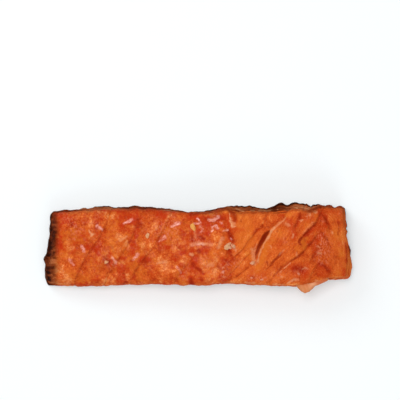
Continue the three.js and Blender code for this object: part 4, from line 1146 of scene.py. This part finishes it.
def underside(u, v):
    """A place on the underside, inside the line where the skin leaves the floor."""
    start, end = rim.find(0 * u, v), rim.find(0 * u + 1, v)
    near, far = rim.find(u, 0 * v), rim.find(u, 0 * v + 1)
    along, across = spread(u, 0.12), spread(v, 0.45)
    return (
        foot_x[start] + along * (foot_x[end] - foot_x[start]),
        foot_y[near] + across * (foot_y[far] - foot_y[near]),
    )


def wall_place(spot, height, inset, lift=0):
    """A place on the skin's wall, inset from its outer face and lifted by some millimetres."""
    out = rim.out(spot, height) - inset
    x, y = rim.x[spot] + rim.nx[spot] * out, rim.y[spot] + rim.ny[spot] * out
    return np.stack([x, y, rim.z[spot] * height + lift], axis=1)


under_x, under_y = underside(u, v)
place = np.stack([under_x, under_y, 0 * under_x], axis=1)
edge_of_foot = (ring == 0) & ((u < TINY) | (u > 1 - TINY) | (v < TINY) | (v > 1 - TINY))
place[edge_of_foot] = wall_place(spot[edge_of_foot], 0, 0)
wall = (ring > 0) & (ring <= WALL_RINGS)
place[wall] = wall_place(spot[wall], (rim.skin[spot] * ring / WALL_RINGS)[wall], 0)
top = ring == WALL_RINGS + 1
place[top] = wall_place(spot[top], rim.skin[spot[top]], 0.5 * SKIN_THICKNESS, RIM_ROUND)
down = ring > WALL_RINGS + 1
share = 1 - (ring - WALL_RINGS - 2) / INNER_RINGS
floor_share = 0.5 * SKIN_THICKNESS / rim.z[spot]
height = floor_share + (rim.skin[spot] - floor_share) * share
place[down] = wall_place(spot[down], height[down], SKIN_THICKNESS)
moved(skin, place)
skin_piece = finished(skin, "skin")

look = Finish("smoked_skin", Specular_IOR_Level=0.0, Coat_Roughness=0.3, IOR=1.36)
at = look.place()
blotch = look.noise(at, 0.25, 3, 0.6)
speck = look.noise(at, 1.4, 3, 0.6)
# rows of small scales, and the light belly that darkens towards the back
along = look.node("ShaderNodeSeparateXYZ", {}, {"Vector": at}, "X")
below = look.step(look.height(), 1.2, 0.2)
lattice = {"Vector": look.place((1.25, 0.8, 0.1), (0, 0, 0.785)), "Scale": 0.5, "Randomness": 0.35}
scales = look.node("ShaderNodeTexVoronoi", {"feature": "DISTANCE_TO_EDGE"}, lattice, "Distance")
gap = look.step(scales, 0.16, 0.03) * below
light = look.step(along, 60, -70) * 0.25 * below
base = look.ramp(blotch + (speck - 0.5) * 0.6 + light - gap * 0.12, [
    (0.25, 34, 13, 5), (0.5, 70, 28, 11), (0.8, 132, 66, 32), (1, 168, 104, 60),
])
look.feed("Base Color", base)
look.feed("Coat Weight", (blotch * 0.15).kept())
look.feed("Roughness", 0.65 - blotch * 0.25)
look.feed("Normal", look.bump(look.noise(at, 1.6, 3, 0.6) - gap * 0.8, 0.0003, 0.7))
skin_piece.data.materials.append(look.material)
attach(skin_piece, "root")
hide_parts(NODE)


# The setting
# A plain pale floor under soft studio light, seen from straight above as the fillet was photographed.

bpy.ops.mesh.primitive_plane_add(size=3)
floor = bpy.context.object
floor.name = "floor"
floor_finish = Finish(
    "pale_floor",
    Base_Color=colour(200, 206, 208),
    Roughness=0.7,
    Emission_Color=(1, 1, 1, 1),
    Emission_Strength=0.34,
)
floor.data.materials.append(floor_finish.material)
floor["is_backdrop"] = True

world = bpy.data.worlds.new("studio")
world.use_nodes = True
sky = world.node_tree.nodes["Background"].inputs
sky["Color"].default_value = (1, 1, 1, 1)
sky["Strength"].default_value = 0.38
bpy.context.scene.world = world
bpy.context.scene.view_settings.view_transform = "Standard"


def softbox(name, place, size, power):
    """A square light aimed at the middle of the fillet."""
    light = bpy.data.lights.new(name, "AREA")
    light.size, light.energy = size, power
    lamp = bpy.data.objects.new(name, light)
    lamp.location = place
    lamp.rotation_euler = (-Vector(place)).to_track_quat("-Z", "Y").to_euler()
    lamp.visible_camera = False
    bpy.context.collection.objects.link(lamp)


softbox("top", (-0.1, 0.15, 1.3), 0.5, 8)
softbox("key", (-0.6, 0.7, 0.75), 0.6, 4)
softbox("fill", (0.3, -0.9, 0.7), 0.6, 2.5)

VIEW_WIDTH = 204.4 * MM  # what the picture shows from side to side, at the height of the top face
VIEW_DISTANCE = 3.0  # from the camera to that height
VIEW_MIDDLE = (0.9 * MM, 24.3 * MM)
VIEWED_HEIGHT = 18 * MM
camera_data = bpy.data.cameras.new("camera")
camera_data.sensor_width = 36
camera_data.lens = camera_data.sensor_width * VIEW_DISTANCE / VIEW_WIDTH
camera = bpy.data.objects.new("camera", camera_data)
camera.location = (*VIEW_MIDDLE, VIEW_DISTANCE + VIEWED_HEIGHT)
bpy.context.collection.objects.link(camera)
bpy.context.scene.camera = camera

low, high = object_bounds()
